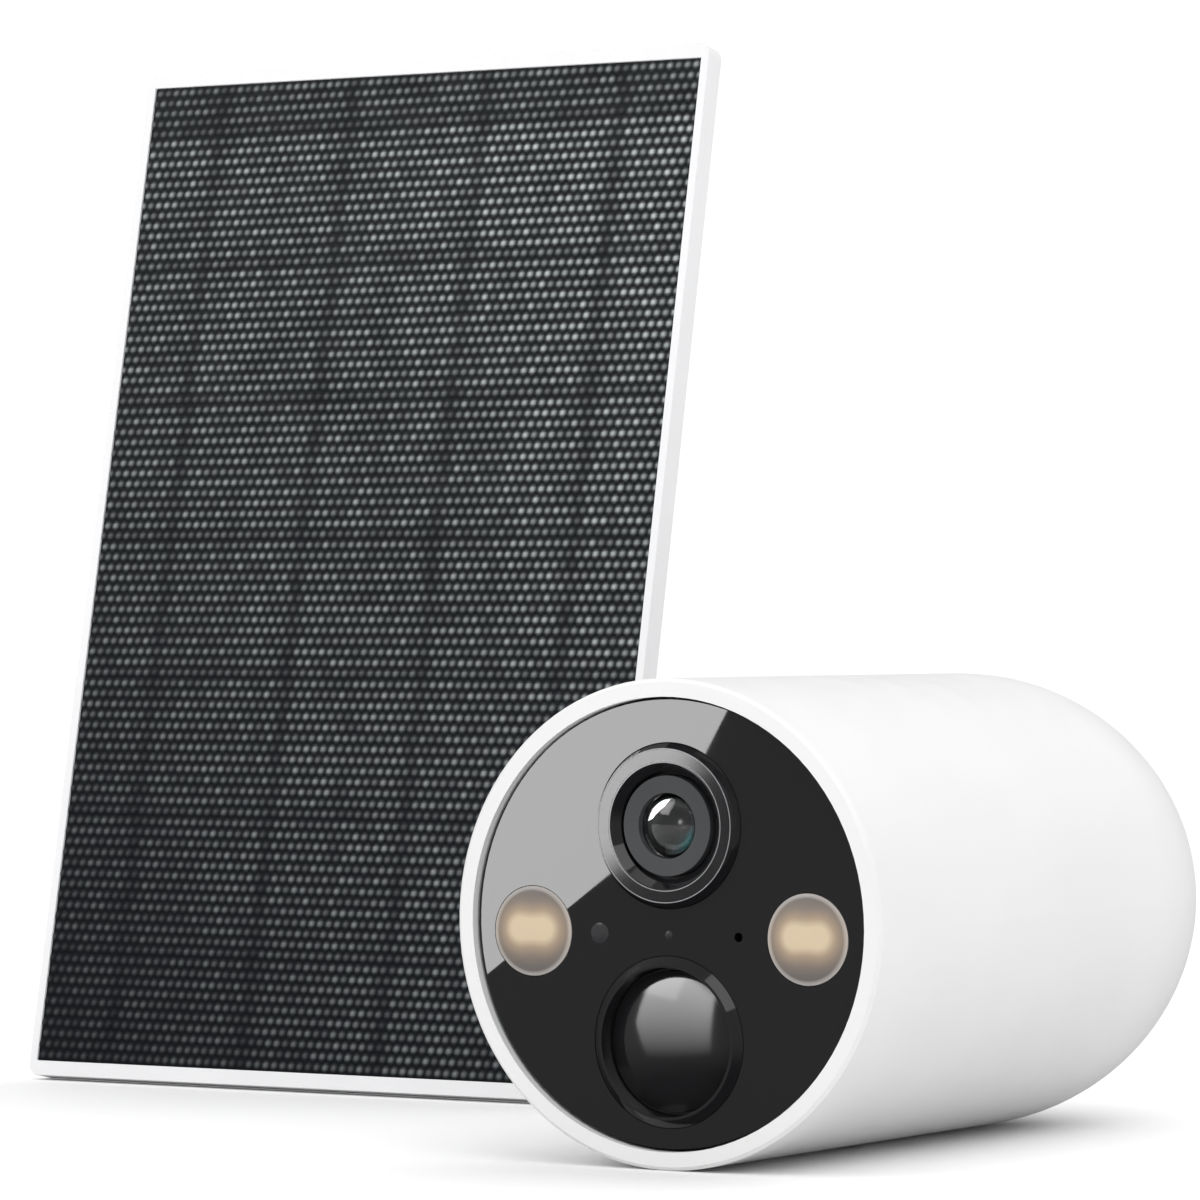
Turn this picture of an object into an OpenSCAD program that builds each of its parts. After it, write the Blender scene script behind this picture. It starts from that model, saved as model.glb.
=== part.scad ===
// Solar-powered security camera: a battery camera lying beside the solar panel that
// charges it, with the panel leaning back on its wall bracket. Both face -Y.
// Millimetres, +Z up. The origin is the middle of the whole set's footprint, on the floor.

/* [Camera body] */
// Outside diameter of the camera body
body_d = 67; // [66:1:84]
// Length of the body's straight part, from the front rim to the dome
body_straight = 85; // [80:1:110]
// How much larger the radius of the dome's arc is than the body's radius
dome_bulge = 15.5; // [12:0.5:18]
// Angle in degrees at which the dome's arc hands over to its round cap
dome_turn = 38; // [32:1:42]
// Thickness of the body shell
shell_wall = 2.5; // [2:0.1:3]
// Chamfer round the front rim
rim_chamfer = 0.5; // [0.2:0.1:1]

/* [Camera face] */
// How far the front glass sits behind the rim
glass_recess = 1.1; // [0.6:0.1:2]
// Thickness of the front glass
glass_t = 1.6; // [1.2:0.1:2.5]
// Gap between the front glass and the shell
glass_gap = 0.4; // [0.2:0.1:0.8]
// Height of the lens above the body's axis, as a share of the body's radius
lens_share = 0.4; // [0.38:0.01:0.42]
// Outside radius of the lens bezel
bezel_r = 11.3; // [10.8:0.1:12]
// How far the lens bezel stands out of the glass
bezel_rise = 1.3; // [0.6:0.1:2]
// Radius of the lens barrel
barrel_r = 6.85; // [6.5:0.05:7.2]
// Radius of the lens's front element
element_r = 4.4; // [3.5:0.1:5]
// Radius of a spotlight window
spot_r = 6.2; // [5.2:0.1:6.8]
// How far the row of spotlights and sensors lies below the body's axis
row_down = 1.5; // [0.5:0.1:2]
// Distance of the light sensor and the microphone from the body's axis
sensor_x = 11; // [10:0.5:12]
// Depth of the motion sensor below the body's axis, as a share of the body's radius
pir_share = 0.48; // [0.46:0.01:0.49]
// Outside radius of the motion sensor's ring
pir_r = 11.7; // [10:0.1:12]
// How far the motion sensor's ring stands out of the glass
pir_rise = 0.9; // [0.4:0.1:1.4]

/* [Camera inside] */
// Radius of one battery cell
cell_r = 9.2; // [9:0.05:9.3]
// Length of one battery cell
cell_len = 65; // [60:0.5:65]
// Plastic left between neighbouring battery cells
cell_web = 0.8; // [0.5:0.1:1]
// Thickness of every circuit board
board_t = 1.6; // [1:0.1:1.6]

/* [Port bay] */
// Height of the bay
bay_h = 12; // [12:0.5:14]
// Thickness of the bay's floor and sides
bay_wall = 1.4; // [1:0.1:1.8]
// Thickness of the hinged cover
cover_t = 1.8; // [1.4:0.1:2]
// Travel of the two buttons
button_travel = 0.5; // [0.3:0.1:0.5]

/* [Solar panel] */
// Width of the panel
panel_w = 109; // [90:1:140]
// Height of the panel
panel_h = 169; // [140:1:205]
// Thickness of the panel's frame
panel_t = 4; // [3.8:0.1:6]
// Width of the frame's side borders
border_side = 1.4; // [1:0.1:4]
// Width of the frame's top and bottom borders
border_end = 2.4; // [1.5:0.1:5]
// Width of one column of solar cells
cell_col = 26.2; // [20:0.1:26.3]
// Height of one row of solar cells
cell_row = 23.1; // [18:0.1:24]
// Lean of the panel, in degrees back from upright
lean = 11.6; // [8:0.1:16]

/* [Bracket] */
// Distance from the back of the panel's rear housing to the tilt axis
tilt_reach = 12; // [11.5:0.5:20]
// Distance from the tilt axis back to the swivel axis
swivel_back = 12; // [10:0.5:16]
// Radius of the tilt bolt
tilt_bolt_r = 2.5; // [2:0.25:3]
// Radius of the swivel bolt
swivel_bolt_r = 3; // [2.5:0.25:3.5]
// Radius of the wall plate
plate_r = 28; // [24:0.5:29]
// Thickness of the wall plate
plate_t = 4; // [4:0.5:6]
// Diameter of the circle of screw holes in the wall plate
screw_circle_d = 44; // [38:1:46]
// Radius of the screw holes in the wall plate
screw_hole_r = 2.25; // [1.75:0.25:2.5]

/* [Layout] */
// Gap between the panel's side and the camera's side
side_gap = 28; // [26:1:60]
// Distance from the panel's lower edge forward to the camera's front rim
camera_forward = 83; // [60:1:100]

/* [Hidden] */
$fn = 72;
fine = 240;                      // facets of a large circle that a thin piece follows

// Colours
white = [0.93, 0.93, 0.92];
black = [0.06, 0.06, 0.07];
dark_grey = [0.22, 0.22, 0.23];
mid_grey = [0.45, 0.45, 0.46];
steel = [0.72, 0.73, 0.75];
board_green = [0.10, 0.32, 0.20];
clear = [0.80, 0.86, 0.88];
brass = [0.80, 0.64, 0.32];
copper = [0.72, 0.45, 0.25];

// Camera body, in its own frame: the rim's middle is the origin and +Y points back
fit = 0.1;                       // slip between a part and the hole it sits in
cut = 1;                         // how far a cutting tool passes a surface
board_clear = 0.3;               // gap between a board or housing and the part beside it
body_r = body_d / 2;
inner_r = body_r - shell_wall;
arc_r = body_r + dome_bulge;
cap_r = arc_r - dome_bulge / cos(dome_turn);
cap_y = body_straight + dome_bulge * tan(dome_turn);
camera_len = cap_y + cap_r;

// Face, from the front back
glass_y = glass_recess;
lens_up = lens_share * body_r;
pir_down = pir_share * body_r;
carrier_y = glass_y + glass_t;
carrier_t = 2.5;
carrier_back = carrier_y + carrier_t;
carrier_r = inner_r - 0.2;
skirt_t = 2;
skirt_back = 12;                 // where the carrier's skirt and posts end
seal_w = 2.2;                    // width of the seal along the body
seal_d = 1.2;                    // depth of the seal's groove
spot_board_y = 7.5;
spot_board_t = 1.2;
spot_board_r = spot_r + 0.6;
spot_reach = carrier_r - skirt_t - spot_board_r - 0.2;
spot_x = sqrt(pow(spot_reach, 2) - pow(row_down, 2));
window_sag = 0.7;                // bulge of a spotlight window
window_back = carrier_y + 0.8;
led_w = 2.6;
led_t = 0.6;
led_x = 1.7;                     // distance of each light chip from its spotlight's middle
front_board_y = spot_board_y + spot_board_t;
front_board_back = front_board_y + board_t;
pir_sag = 2;
pir_lens_r = pir_r - 2;
pir_lens_t = 1;
pir_flange_t = 0.8;
pir_sensor_r = 4.6;
pir_sensor_h = 3.6;
mic_hole_r = 0.65;
mic_w = 3.8;
mic_h = 2.9;
mic_t = 1;
light_window_r = 1.4;
light_well_r = 1;
pipe_r = 0.6;
dot_sag = 0.2;                   // bulge of the light window and of the light pipe
status_led_w = 1.6;
status_led_t = 0.8;

// Lens, from the front back
bezel_face = 2;                  // width of the bezel's flat crest
bezel_crest_r = bezel_r - 2.7;
bezel_bore_r = barrel_r + 0.6;
barrel_front = glass_y - 0.5;
barrel_step = 9;                 // where the barrel narrows to its thread
thread_r = barrel_r - 0.85;
thread_back = 15;
front_seat = 5;                  // where the front element stops
rear_front = 10;
rear_seat = 13;                  // where the rear element stops
bore_r = element_r - 0.3;
stop_r = bore_r - 1;
holder_r = thread_r + 2.2;
holder_flange_r = 11;
holder_flange_t = 1.4;
holder_neck = 16;                // where the holder's round neck meets its square base
holder_back = 20.3;
holder_w = 20;
holder_h = 15;
iris_r = 1.9;
filter_w = 10;
filter_h = 7;
filter_t = 0.8;
filter_travel = 4;
filter_y = 17;
chip_w = 8;
chip_h = 6;
chip_t = 0.9;
sensor_board_w = 26;
sensor_board_h = 21;

// Screws that hold the carrier and the chassis
screw_r = 1;
screw_head_r = 1.9;
screw_head_t = 1.6;
screw_slot_r = 0.7;
screw_slot_depth = 0.8;
post_r = 2.3;
boss_r = 3;
boss_at = inner_r - 2.6;
front_board_r = boss_at - post_r - board_clear;
carrier_screw_angles = [90, 235, 305];
carrier_boss_back = 20;
chassis_boss_r = 2.4;
chassis_boss_at = inner_r - 2;
chassis_screw_angles = [12, 168];
chassis_boss_back = 34;
boss_floor = 2;                  // solid end of a screw boss behind its pilot hole

// Battery and boards
chassis_wall = 1.3;
cells_z = -7.5;
cell_count = 3;
cell_pitch = 2 * cell_r + cell_web;
cell_cap = 1;                    // length of a cell's raised end contact
chassis_front = 24;
bulkhead_t = 2;
bulkhead_back = chassis_front + bulkhead_t;
cells_y = bulkhead_back + 1;
chassis_back = cells_y + cell_len + 2;
chassis_bottom = cells_z - cell_r - chassis_wall;
chassis_top = cells_z + cell_r + chassis_wall + 0.2;
chassis_neck_z = -3;
chassis_neck_x = inner_r - 4.5;
ear_top = chassis_boss_at * sin(chassis_screw_angles[0]) + boss_r;
ear_inner_x = 15;
board_z = chassis_top;
board_top = board_z + board_t;
board_front = 36;
board_back = 88;
shield_x = -5;
shield_y = board_front + 10;
shield_w = 22;
shield_h = 2.5;
antenna_w = 24;
antenna_h = 9;
antenna_t = 1;

// Port bay in the left side
bay_y = 46;                      // front end of the bay
bay_z = 1.2;                     // bottom of the bay
bay_floor = body_r - 5;          // distance of the bay's floor from the axis plane
bay_back = bay_floor - bay_wall;
board_left = bay_back - 0.2;
board_right = 24;
socket_w = 9;
socket_h = 3.2;
socket_depth = 8;
socket_wall = 0.4;
tongue_t = 0.7;                  // thickness of the socket's contact tongue
tongue_half = 3.3;
card_w = 11.5;
card_slot_z = board_top + 0.6;
card_slot_h = 1.2;
card_wall = 0.5;
card_body = 14;
card_body_h = 2.2;
switch_w = 3.8;
switch_t = 3.5;
switch_gap_y = 1.2;              // gap between neighbouring parts along the bay
socket_y = bay_y + socket_w / 2 + 1.5;
power_y = socket_y + socket_w / 2 + switch_gap_y + switch_w / 2;
reset_y = power_y + switch_w + switch_gap_y;
card_y = reset_y + switch_w / 2 + card_w / 2 + card_wall + switch_gap_y;
bay_len = card_y + card_w / 2 + 1.5 - bay_y;
button_z = board_top + 3.2;
power_r = 2;
reset_r = 1;
button_flange = 0.6;             // how far a button's flange passes its stem
button_neck = 0.4;               // how much thinner the stem is behind the flange
switch_gap = 0.1;                // play between a pressed button and its switch
flange_t = 0.8;
button_back = bay_back - fit - flange_t - 0.9;
switch_face = button_back - button_travel - switch_gap;
power_proud = 1.2;
reset_proud = 0.4;
cover_gap = 0.3;
knuckle_r = 1.2;
pin_r = 0.5;
pin_play = 0.05;
pin_z = bay_z + cover_gap + knuckle_r;
pin_x = sqrt(pow(body_r, 2) - pow(pin_z, 2)) - knuckle_r;
cover_reach = bay_z + bay_h - cover_gap - pin_z;
pin_start = bay_y - bay_wall + 0.2;
pin_end = bay_y + bay_len + bay_wall - 0.2;
port_seal_w = 1.2;

// Underside
insert_y = 45;
insert_r = 5;
insert_len = 9.5;
insert_bore_r = 3.175;
insert_bore_len = 8;
insert_sink = 0.6;               // how far the insert's mouth lies above the body's lowest line
insert_boss_r = 7.5;
insert_boss_top = -body_r + insert_sink + insert_len + boss_floor;
speaker_y = 72;
speaker_r = 11;
speaker_h = 4.6;
speaker_z = -body_r + 8.6;
speaker_cup_h = 3;               // how far the cup's rim rises beside the speaker
speaker_ledge = 1.5;
speaker_cup_t = 1.2;
speaker_floor = -body_r + shell_wall + 1;
speaker_ball_r = 11;             // the cone's hollow is a cap of this ball
speaker_dish = 2;
sound_hole_r = 0.8;
sound_ring_r = 5;
sound_holes = 6;

// Panel, in its own frame: the lower front edge's middle is the origin, +Y points
// through the panel to its back and +Z up the panel
film_n = 0.2;                    // film's front surface behind the frame's front
film_t = 0.5;
ribbon_t = 0.15;
ribbon_n = film_n + film_t;
cells_n = ribbon_n + ribbon_t;
cells_t = 0.25;
backing_n = cells_n + cells_t;
backing_t = 1.4;
pocket_depth = backing_n + backing_t;
pocket_w = panel_w - 2 * border_side;
pocket_h = panel_h - 2 * border_end;
panel_corner_r = 2;
cell_gap = 0.8;
cell_cols = floor((pocket_w - 1) / cell_col);
cells_top_gap = 7.8;             // bare strip above the top row of cells
cell_rows = floor((pocket_h - cells_top_gap - 2) / cell_row);
cells_top = panel_h - border_end - cells_top_gap;
ribbon_w = 1.6;
ribbon_over = 3;                 // how far the ribbons pass the top row of cells
cross_ribbon_w = 2;
housing_w = 60;
housing_h = 76;
housing_t = 9;
housing_wall = 2;
housing_corner_r = 8;
housing_n = panel_t;
housing_back = housing_n + housing_t;
housing_mid = panel_h / 2;
charge_board_w = 38;
charge_board_h = 46;
charge_board_up = 8;             // how far the board's middle lies above the housing's
gland_n = housing_n + (housing_t - housing_wall) / 2;
gland_nut_r = (housing_t - housing_wall) / 2 - fit;
gland_r = gland_nut_r - 0.5;
gland_bore_r = gland_r - 0.9;
gland_out = 7;
gland_in = 1.5;
column_r = 3.5;
column_in = 6;                   // distance of a screw column from the housing's sides
column_x = housing_w / 2 - column_in;
column_z = housing_h / 2 - column_in;
housing_screw_r = 1.2;
housing_head_r = 2.4;
housing_head_t = 1.4;
housing_slot_r = 0.8;
screw_short = 0.2;               // how far a screw stops short of the end of its hole

// Tilt lug on the housing
lug_flange_w = 34;
lug_flange_h = 24;
lug_flange_t = 2.5;
lug_r = 7.5;
tongue_w = 8;
lug_screw_x = 12;
lug_screw_z = lug_flange_h / 2 - 4;
tilt_n = housing_back + tilt_reach;
tilt_s = housing_mid;

// The panel rests on the back corner of its lower edge
panel_lift = panel_t * sin(lean);
tilt_y = tilt_s * sin(lean) + tilt_n * cos(lean);
tilt_z = panel_lift + tilt_s * cos(lean) - tilt_n * sin(lean);

// Bracket, with +Y back and the panel's lower front edge at y = 0
swivel_y = tilt_y + swivel_back;
running = 0.05;                  // radial play of a bolt in a part that turns on it
washer_t = 0.7;
face_gap = 0.1;                  // play between flat faces that turn on each other
ear_in = tongue_w / 2 + face_gap + washer_t;
ear_t = 4.2;
ear_r = 8;
arm_w = 2 * (ear_in + ear_t);
slot_r = 13;
washer_r = 6.5;
knob_gap = 0.3;
knob_r = 9;
knob_t = 11;
knob_lobes = 6;
knob_groove_r = 2.6;
knob_hub_r = 5.5;
knob_hub_t = 2;
knob_cap_t = 1.5;
bolt_short = 0.5;                // how far the tilt bolt stops short of the knob's blind end
bolt_head_r = 4.5;
bolt_head_t = 3.2;
plate_boss_r = 11.5;
plate_boss_top = 12;
swivel_head_r = 5.5;
swivel_head_t = 3;
swivel_head_sink = 0.3;
swivel_washer_t = 0.8;
swivel_washer_r = 9;
foot_z = plate_boss_top + swivel_washer_t + face_gap;
foot_h = 9;
foot_r = 11.5;
thread_depth = 14;
hex_r = 2.5;
hex_depth = 2;
counterbore_gap = 0.3;
counterbore_top = swivel_head_sink + swivel_head_t + 0.2;
column_d = 14;                   // depth of the arm's column, front to back
column_top = foot_z + 0.55 * (tilt_z - foot_z);
plate_screws = 3;

// Where the camera and the bracket stand on the floor
camera_x = panel_w / 2 + side_gap + body_r;
footprint_left = -panel_w / 2;
footprint_right = camera_x + body_r;
footprint_front = -camera_forward + min(0, glass_recess - bezel_rise);
footprint_back = max(swivel_y + plate_r, camera_len - camera_forward,
                     panel_h * sin(lean) + panel_t * cos(lean));
mid_x = (footprint_left + footprint_right) / 2;
mid_y = (footprint_front + footprint_back) / 2;

// ---------- placing ----------

// From the stand's frame, on the panel's lower edge, to the frame of the whole set
module in_stand() {
    translate([-mid_x, -mid_y, 0]) children();
}

module in_camera() {
    in_stand() translate([camera_x, -camera_forward, body_r]) children();
}

module in_panel() {
    in_stand() translate([0, 0, panel_lift]) rotate([-lean, 0, 0]) children();
}

// ---------- shapes that repeat ----------

// Round bar along Y at (x, z)
module bar_y(r, y0, y1, x = 0, z = 0) {
    translate([x, y0, z]) rotate([-90, 0, 0]) cylinder(r = r, h = y1 - y0);
}

// Round bar along X at (y, z)
module bar_x(r, x0, x1, y = 0, z = 0) {
    translate([x0, y, z]) rotate([0, 90, 0]) cylinder(r = r, h = x1 - x0);
}

// Outline of [radius, distance back] points turned about an axis along Y at (x, z)
module turned_y(points, x = 0, z = 0) {
    translate([x, 0, z]) rotate([-90, 0, 0]) rotate_extrude() polygon(points);
}

// Box given by its lowest and highest corners
module span(low, high) {
    translate(low) cube(high - low);
}

module round_box(w, h, r, t) {
    linear_extrude(t) offset(r = r) square([w - 2 * r, h - 2 * r], center = true);
}

// Children once at each polar angle round the body's axis, on a circle in the face's plane
module at_angles(angles, radius) {
    for (a = angles) translate([radius * cos(a), 0, radius * sin(a)]) children();
}

module at_both_spots() {
    for (side = [-1, 1]) translate([side * spot_x, 0, -row_down]) children();
}

// Round disc from y0 to y1 whose front bulges by `sag` like the cap of a ball
module domed_disc(r, y0, y1, sag, x = 0, z = 0) {
    ball_r = (r * r + sag * sag) / (2 * sag);
    translate([x, y0, z]) rotate([-90, 0, 0]) rotate_extrude() {
        translate([0, sag]) square([r, y1 - y0 - sag]);
        intersection() {
            square([r, sag]);
            translate([0, ball_r]) circle(r = ball_r, $fn = 240);
        }
    }
}

// ---------- camera body ----------

// Half section of the body, radius along x and distance back along y, drawn in by `inset`
module body_half(inset) {
    far = 2 * arc_r;
    far_y = body_straight + (far + dome_bulge) * tan(dome_turn);
    square([body_r - inset, body_straight]);
    intersection() {
        translate([-dome_bulge, body_straight]) circle(r = arc_r - inset, $fn = 160);
        polygon([[0, body_straight], [far, body_straight], [far, far_y], [0, cap_y]]);
    }
    intersection() {
        translate([0, cap_y]) circle(r = cap_r - inset, $fn = 120);
        polygon([[0, cap_y], [far, far_y], [0, far_y]]);
    }
}

module body_solid(inset) {
    rotate([-90, 0, 0]) rotate_extrude($fn = 120) body_half(inset);
}

module rim_corner() {
    turned_y([[body_r - rim_chamfer, -cut], [body_r + cut, -cut], [body_r + cut, rim_chamfer + cut],
              [body_r, rim_chamfer], [body_r - rim_chamfer, 0]]);
}

module bay_block(grow) {
    span([-body_r - cut, bay_y - grow, bay_z - grow],
         [-bay_floor + grow, bay_y + bay_len + grow, bay_z + bay_h + grow]);
}

// Openings in the bay's floor for the charge socket, the buttons and the memory card
module bay_ports() {
    behind = -bay_back + cut;
    span([-body_r, socket_y - socket_w / 2 - fit, board_top - fit],
         [behind, socket_y + socket_w / 2 + fit, board_top + socket_h + fit]);
    span([-body_r, card_y - card_w / 2, card_slot_z],
         [behind, card_y + card_w / 2, card_slot_z + card_slot_h]);
    bar_x(power_r + fit, -body_r, behind, power_y, button_z);
    bar_x(reset_r + fit, -body_r, behind, reset_y, button_z);
}

module shell_bosses() {
    at_angles(carrier_screw_angles, boss_at) bar_y(boss_r, skirt_back, carrier_boss_back);
    at_angles(chassis_screw_angles, chassis_boss_at)
        bar_y(chassis_boss_r, bulkhead_back, chassis_boss_back);
    translate([0, insert_y, -body_r]) cylinder(r = insert_boss_r, h = insert_boss_top + body_r);
    translate([0, speaker_y, -body_r])
        cylinder(r = speaker_r + fit + speaker_cup_t, h = speaker_z + speaker_cup_h + body_r);
}

module sound_hole() {
    translate([0, 0, -body_r - cut]) cylinder(r = sound_hole_r, h = 3 * shell_wall + cut);
}

module shell_holes() {
    at_angles(carrier_screw_angles, boss_at)
        bar_y(screw_r, skirt_back - cut, carrier_boss_back - boss_floor);
    at_angles(chassis_screw_angles, chassis_boss_at)
        bar_y(screw_r, bulkhead_back - cut, chassis_boss_back - boss_floor);
    translate([0, insert_y, -body_r - cut]) cylinder(r = insert_r, h = insert_sink + insert_len + cut);
    translate([0, speaker_y, speaker_z]) cylinder(r = speaker_r + fit, h = speaker_cup_h + cut);
    translate([0, speaker_y, speaker_floor])
        cylinder(r = speaker_r - speaker_ledge, h = speaker_z + cut - speaker_floor);
    translate([0, speaker_y, 0]) {
        sound_hole();
        for (i = [0:sound_holes - 1]) rotate([0, 0, i * 360 / sound_holes])
            translate([sound_ring_r, 0, 0]) sound_hole();
    }
}

module camera_shell() {
    color(white) in_camera() difference() {
        union() {
            difference() {
                body_solid(0);
                body_solid(shell_wall);
                bar_y(inner_r, -cut, cut);
            }
            intersection() {
                body_solid(shell_wall / 2);
                union() {
                    bay_block(bay_wall);
                    shell_bosses();
                }
            }
        }
        rim_corner();
        bay_block(0);
        bay_ports();
        shell_holes();
        bar_y(pin_r, pin_start, pin_end, -pin_x, pin_z);
    }
}

module front_carrier() {
    color(black) in_camera() difference() {
        union() {
            bar_y(carrier_r, carrier_y, carrier_back);
            difference() {
                bar_y(carrier_r, carrier_back, skirt_back);
                bar_y(carrier_r - skirt_t, carrier_back, skirt_back + cut);
            }
            at_angles(carrier_screw_angles, boss_at) bar_y(post_r, carrier_back, skirt_back);
        }
        difference() {
            bar_y(carrier_r + cut, carrier_back + 1, carrier_back + 1 + seal_w);
            bar_y(carrier_r - seal_d, carrier_back, carrier_back + 2 + seal_w);
        }
        bar_y(barrel_r + fit, carrier_y - cut, carrier_back + cut, 0, lens_up);
        bar_y(pir_lens_r + fit, carrier_y - cut, carrier_back + cut, 0, -pir_down);
        at_both_spots() bar_y(spot_r, carrier_y - cut, carrier_back + cut);
        for (x = [0, sensor_x]) bar_y(mic_hole_r + fit, carrier_y - cut, carrier_back + cut, x, -row_down);
        bar_y(light_well_r, carrier_y - cut, carrier_back + cut, -sensor_x, -row_down);
        at_angles(carrier_screw_angles, boss_at) {
            bar_y(screw_head_r + fit, carrier_y - cut, carrier_y + screw_head_t + fit);
            bar_y(screw_r + fit, carrier_y, skirt_back + cut);
        }
    }
}

module carrier_seal() {
    color(dark_grey) in_camera() difference() {
        bar_y(inner_r, carrier_back + 1, carrier_back + 1 + seal_w);
        bar_y(carrier_r - seal_d, carrier_back, carrier_back + 2 + seal_w);
    }
}

// Screw along Y whose head's front is at y0
module body_screw(y0, y1) {
    difference() {
        union() {
            bar_y(screw_head_r, y0, y0 + screw_head_t);
            bar_y(screw_r, y0 + screw_head_t, y1);
        }
        bar_y(screw_slot_r, y0 - cut, y0 + screw_slot_depth);
    }
}

module carrier_screws() {
    color(steel) in_camera() at_angles(carrier_screw_angles, boss_at)
        body_screw(carrier_y + fit, carrier_boss_back - boss_floor - cut);
}

module front_glass() {
    color(black) in_camera() difference() {
        bar_y(inner_r - glass_gap, glass_y, carrier_y);
        bar_y(bezel_r + fit, 0, carrier_y + cut, 0, lens_up);
        bar_y(pir_r + fit, 0, carrier_y + cut, 0, -pir_down);
        at_both_spots() bar_y(spot_r + fit, 0, carrier_y + cut);
        bar_y(light_window_r, 0, carrier_y + cut, -sensor_x, -row_down);
        bar_y(pipe_r, 0, carrier_y + cut, 0, -row_down);
        bar_y(mic_hole_r, 0, carrier_y + cut, sensor_x, -row_down);
    }
}

// ---------- lens ----------

module lens_bezel() {
    crest_y = glass_y - bezel_rise;
    color(black) in_camera() turned_y([
        [bezel_r, carrier_y], [bezel_r, glass_y], [bezel_crest_r + bezel_face, crest_y],
        [bezel_crest_r, crest_y], [bezel_bore_r, glass_y - fit], [bezel_bore_r, carrier_y]], 0, lens_up);
}

module lens_barrel() {
    color(mid_grey) in_camera() turned_y([
        [element_r + fit, barrel_front], [barrel_r, barrel_front], [barrel_r, barrel_step],
        [thread_r, barrel_step], [thread_r, thread_back], [stop_r, thread_back],
        [stop_r, rear_seat], [bore_r, rear_seat], [bore_r, front_seat],
        [element_r + fit, front_seat]], 0, lens_up);
}

module lens_front_element() {
    color(clear) in_camera() domed_disc(element_r, barrel_front - 0.4, front_seat, 1.4, 0, lens_up);
}

module lens_rear_element() {
    color(clear) in_camera() domed_disc(bore_r - fit, rear_front, rear_seat, 0.8, 0, lens_up);
}

// Cavity with some room round a block of the given size whose front face is at y
module slot_y(w, y, t, h) {
    span([-w / 2 - board_clear, y - board_clear, -h / 2 - board_clear],
         [w / 2 + board_clear, y + t + board_clear, h / 2 + board_clear]);
}

module lens_holder() {
    color(black) in_camera() translate([0, 0, lens_up]) difference() {
        union() {
            bar_y(holder_r, barrel_step + 0.5, holder_neck);
            bar_y(holder_flange_r, front_board_back, front_board_back + holder_flange_t);
            span([-holder_w / 2, holder_neck, -holder_h / 2], [holder_w / 2, holder_back, holder_h / 2]);
        }
        bar_y(thread_r, barrel_step, thread_back);
        bar_y(iris_r, thread_back - cut, filter_y);
        bar_y(bore_r, filter_y, holder_back + cut);
        slot_y(filter_w + filter_travel, filter_y, filter_t, filter_h);
        slot_y(chip_w, holder_back - chip_t, 2 * chip_t, chip_h);
    }
}

module ir_cut_filter() {
    color([0.35, 0.55, 0.60]) in_camera() span(
        [-filter_w / 2 - filter_travel / 2, filter_y, lens_up - filter_h / 2],
        [filter_w / 2 - filter_travel / 2, filter_y + filter_t, lens_up + filter_h / 2]);
}

module image_sensor() {
    color(dark_grey) in_camera() span([-chip_w / 2, holder_back - chip_t, lens_up - chip_h / 2],
                                      [chip_w / 2, holder_back, lens_up + chip_h / 2]);
}

module sensor_board() {
    color(board_green) in_camera() span(
        [-sensor_board_w / 2, holder_back, lens_up - sensor_board_h / 2],
        [sensor_board_w / 2, holder_back + board_t, lens_up + sensor_board_h / 2]);
}

// ---------- spotlights ----------

module spotlight_window(side) {
    in_camera() domed_disc(spot_r, glass_y - window_sag, window_back, window_sag,
                           side * spot_x, -row_down);
}

module spotlight_window_left() {
    color([0.90, 0.88, 0.84]) spotlight_window(-1);
}

module spotlight_window_right() {
    color([0.90, 0.88, 0.84]) spotlight_window(1);
}

module spotlight_reflectors() {
    mouth_r = spot_r - fit;
    throat_r = mouth_r - 2;
    color(white) in_camera() at_both_spots() turned_y([
        [mouth_r - 0.5, window_back], [mouth_r, window_back], [mouth_r, carrier_back],
        [throat_r + 0.7, spot_board_y], [throat_r, spot_board_y]]);
}

module spotlight_leds() {
    color([0.95, 0.85, 0.55]) in_camera() at_both_spots() for (x = [-led_x, led_x])
        span([x - led_w / 2, spot_board_y - led_t, -led_w / 2], [x + led_w / 2, spot_board_y, led_w / 2]);
}

module spotlight_boards() {
    color(steel) in_camera() at_both_spots()
        bar_y(spot_board_r, spot_board_y, spot_board_y + spot_board_t);
}

// ---------- motion sensor and small sensors ----------

module pir_ring() {
    crest_y = glass_y - pir_rise;
    color(black) in_camera() turned_y([
        [pir_r, carrier_y], [pir_r, glass_y], [pir_r - 1.1, crest_y], [pir_r - 1.5, crest_y],
        [pir_lens_r + 2 * fit, carrier_y]], 0, -pir_down);
}

module pir_lens() {
    apex = glass_y - 0.7;
    color(black) in_camera() difference() {
        union() {
            domed_disc(pir_lens_r, apex, carrier_back, pir_sag, 0, -pir_down);
            bar_y(pir_lens_r + pir_flange_t, carrier_back, carrier_back + pir_flange_t, 0, -pir_down);
        }
        domed_disc(pir_lens_r - pir_lens_t, apex + pir_lens_t, carrier_back + pir_flange_t + cut,
                   pir_sag - 0.4, 0, -pir_down);
    }
}

module pir_sensor() {
    color(steel) in_camera()
        bar_y(pir_sensor_r, front_board_y - pir_sensor_h, front_board_y, 0, -pir_down);
}

module light_sensor_window() {
    color([0.35, 0.35, 0.36]) in_camera()
        domed_disc(light_window_r, glass_y - dot_sag, carrier_y, dot_sag, -sensor_x, -row_down);
}

module status_light_pipe() {
    color(clear) in_camera()
        domed_disc(pipe_r, glass_y - dot_sag, front_board_y - status_led_t, dot_sag, 0, -row_down);
}

module status_led() {
    color([0.90, 0.90, 0.60]) in_camera() span(
        [-status_led_w / 2, front_board_y - status_led_t, -row_down - status_led_t / 2],
        [status_led_w / 2, front_board_y, -row_down + status_led_t / 2]);
}

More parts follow.
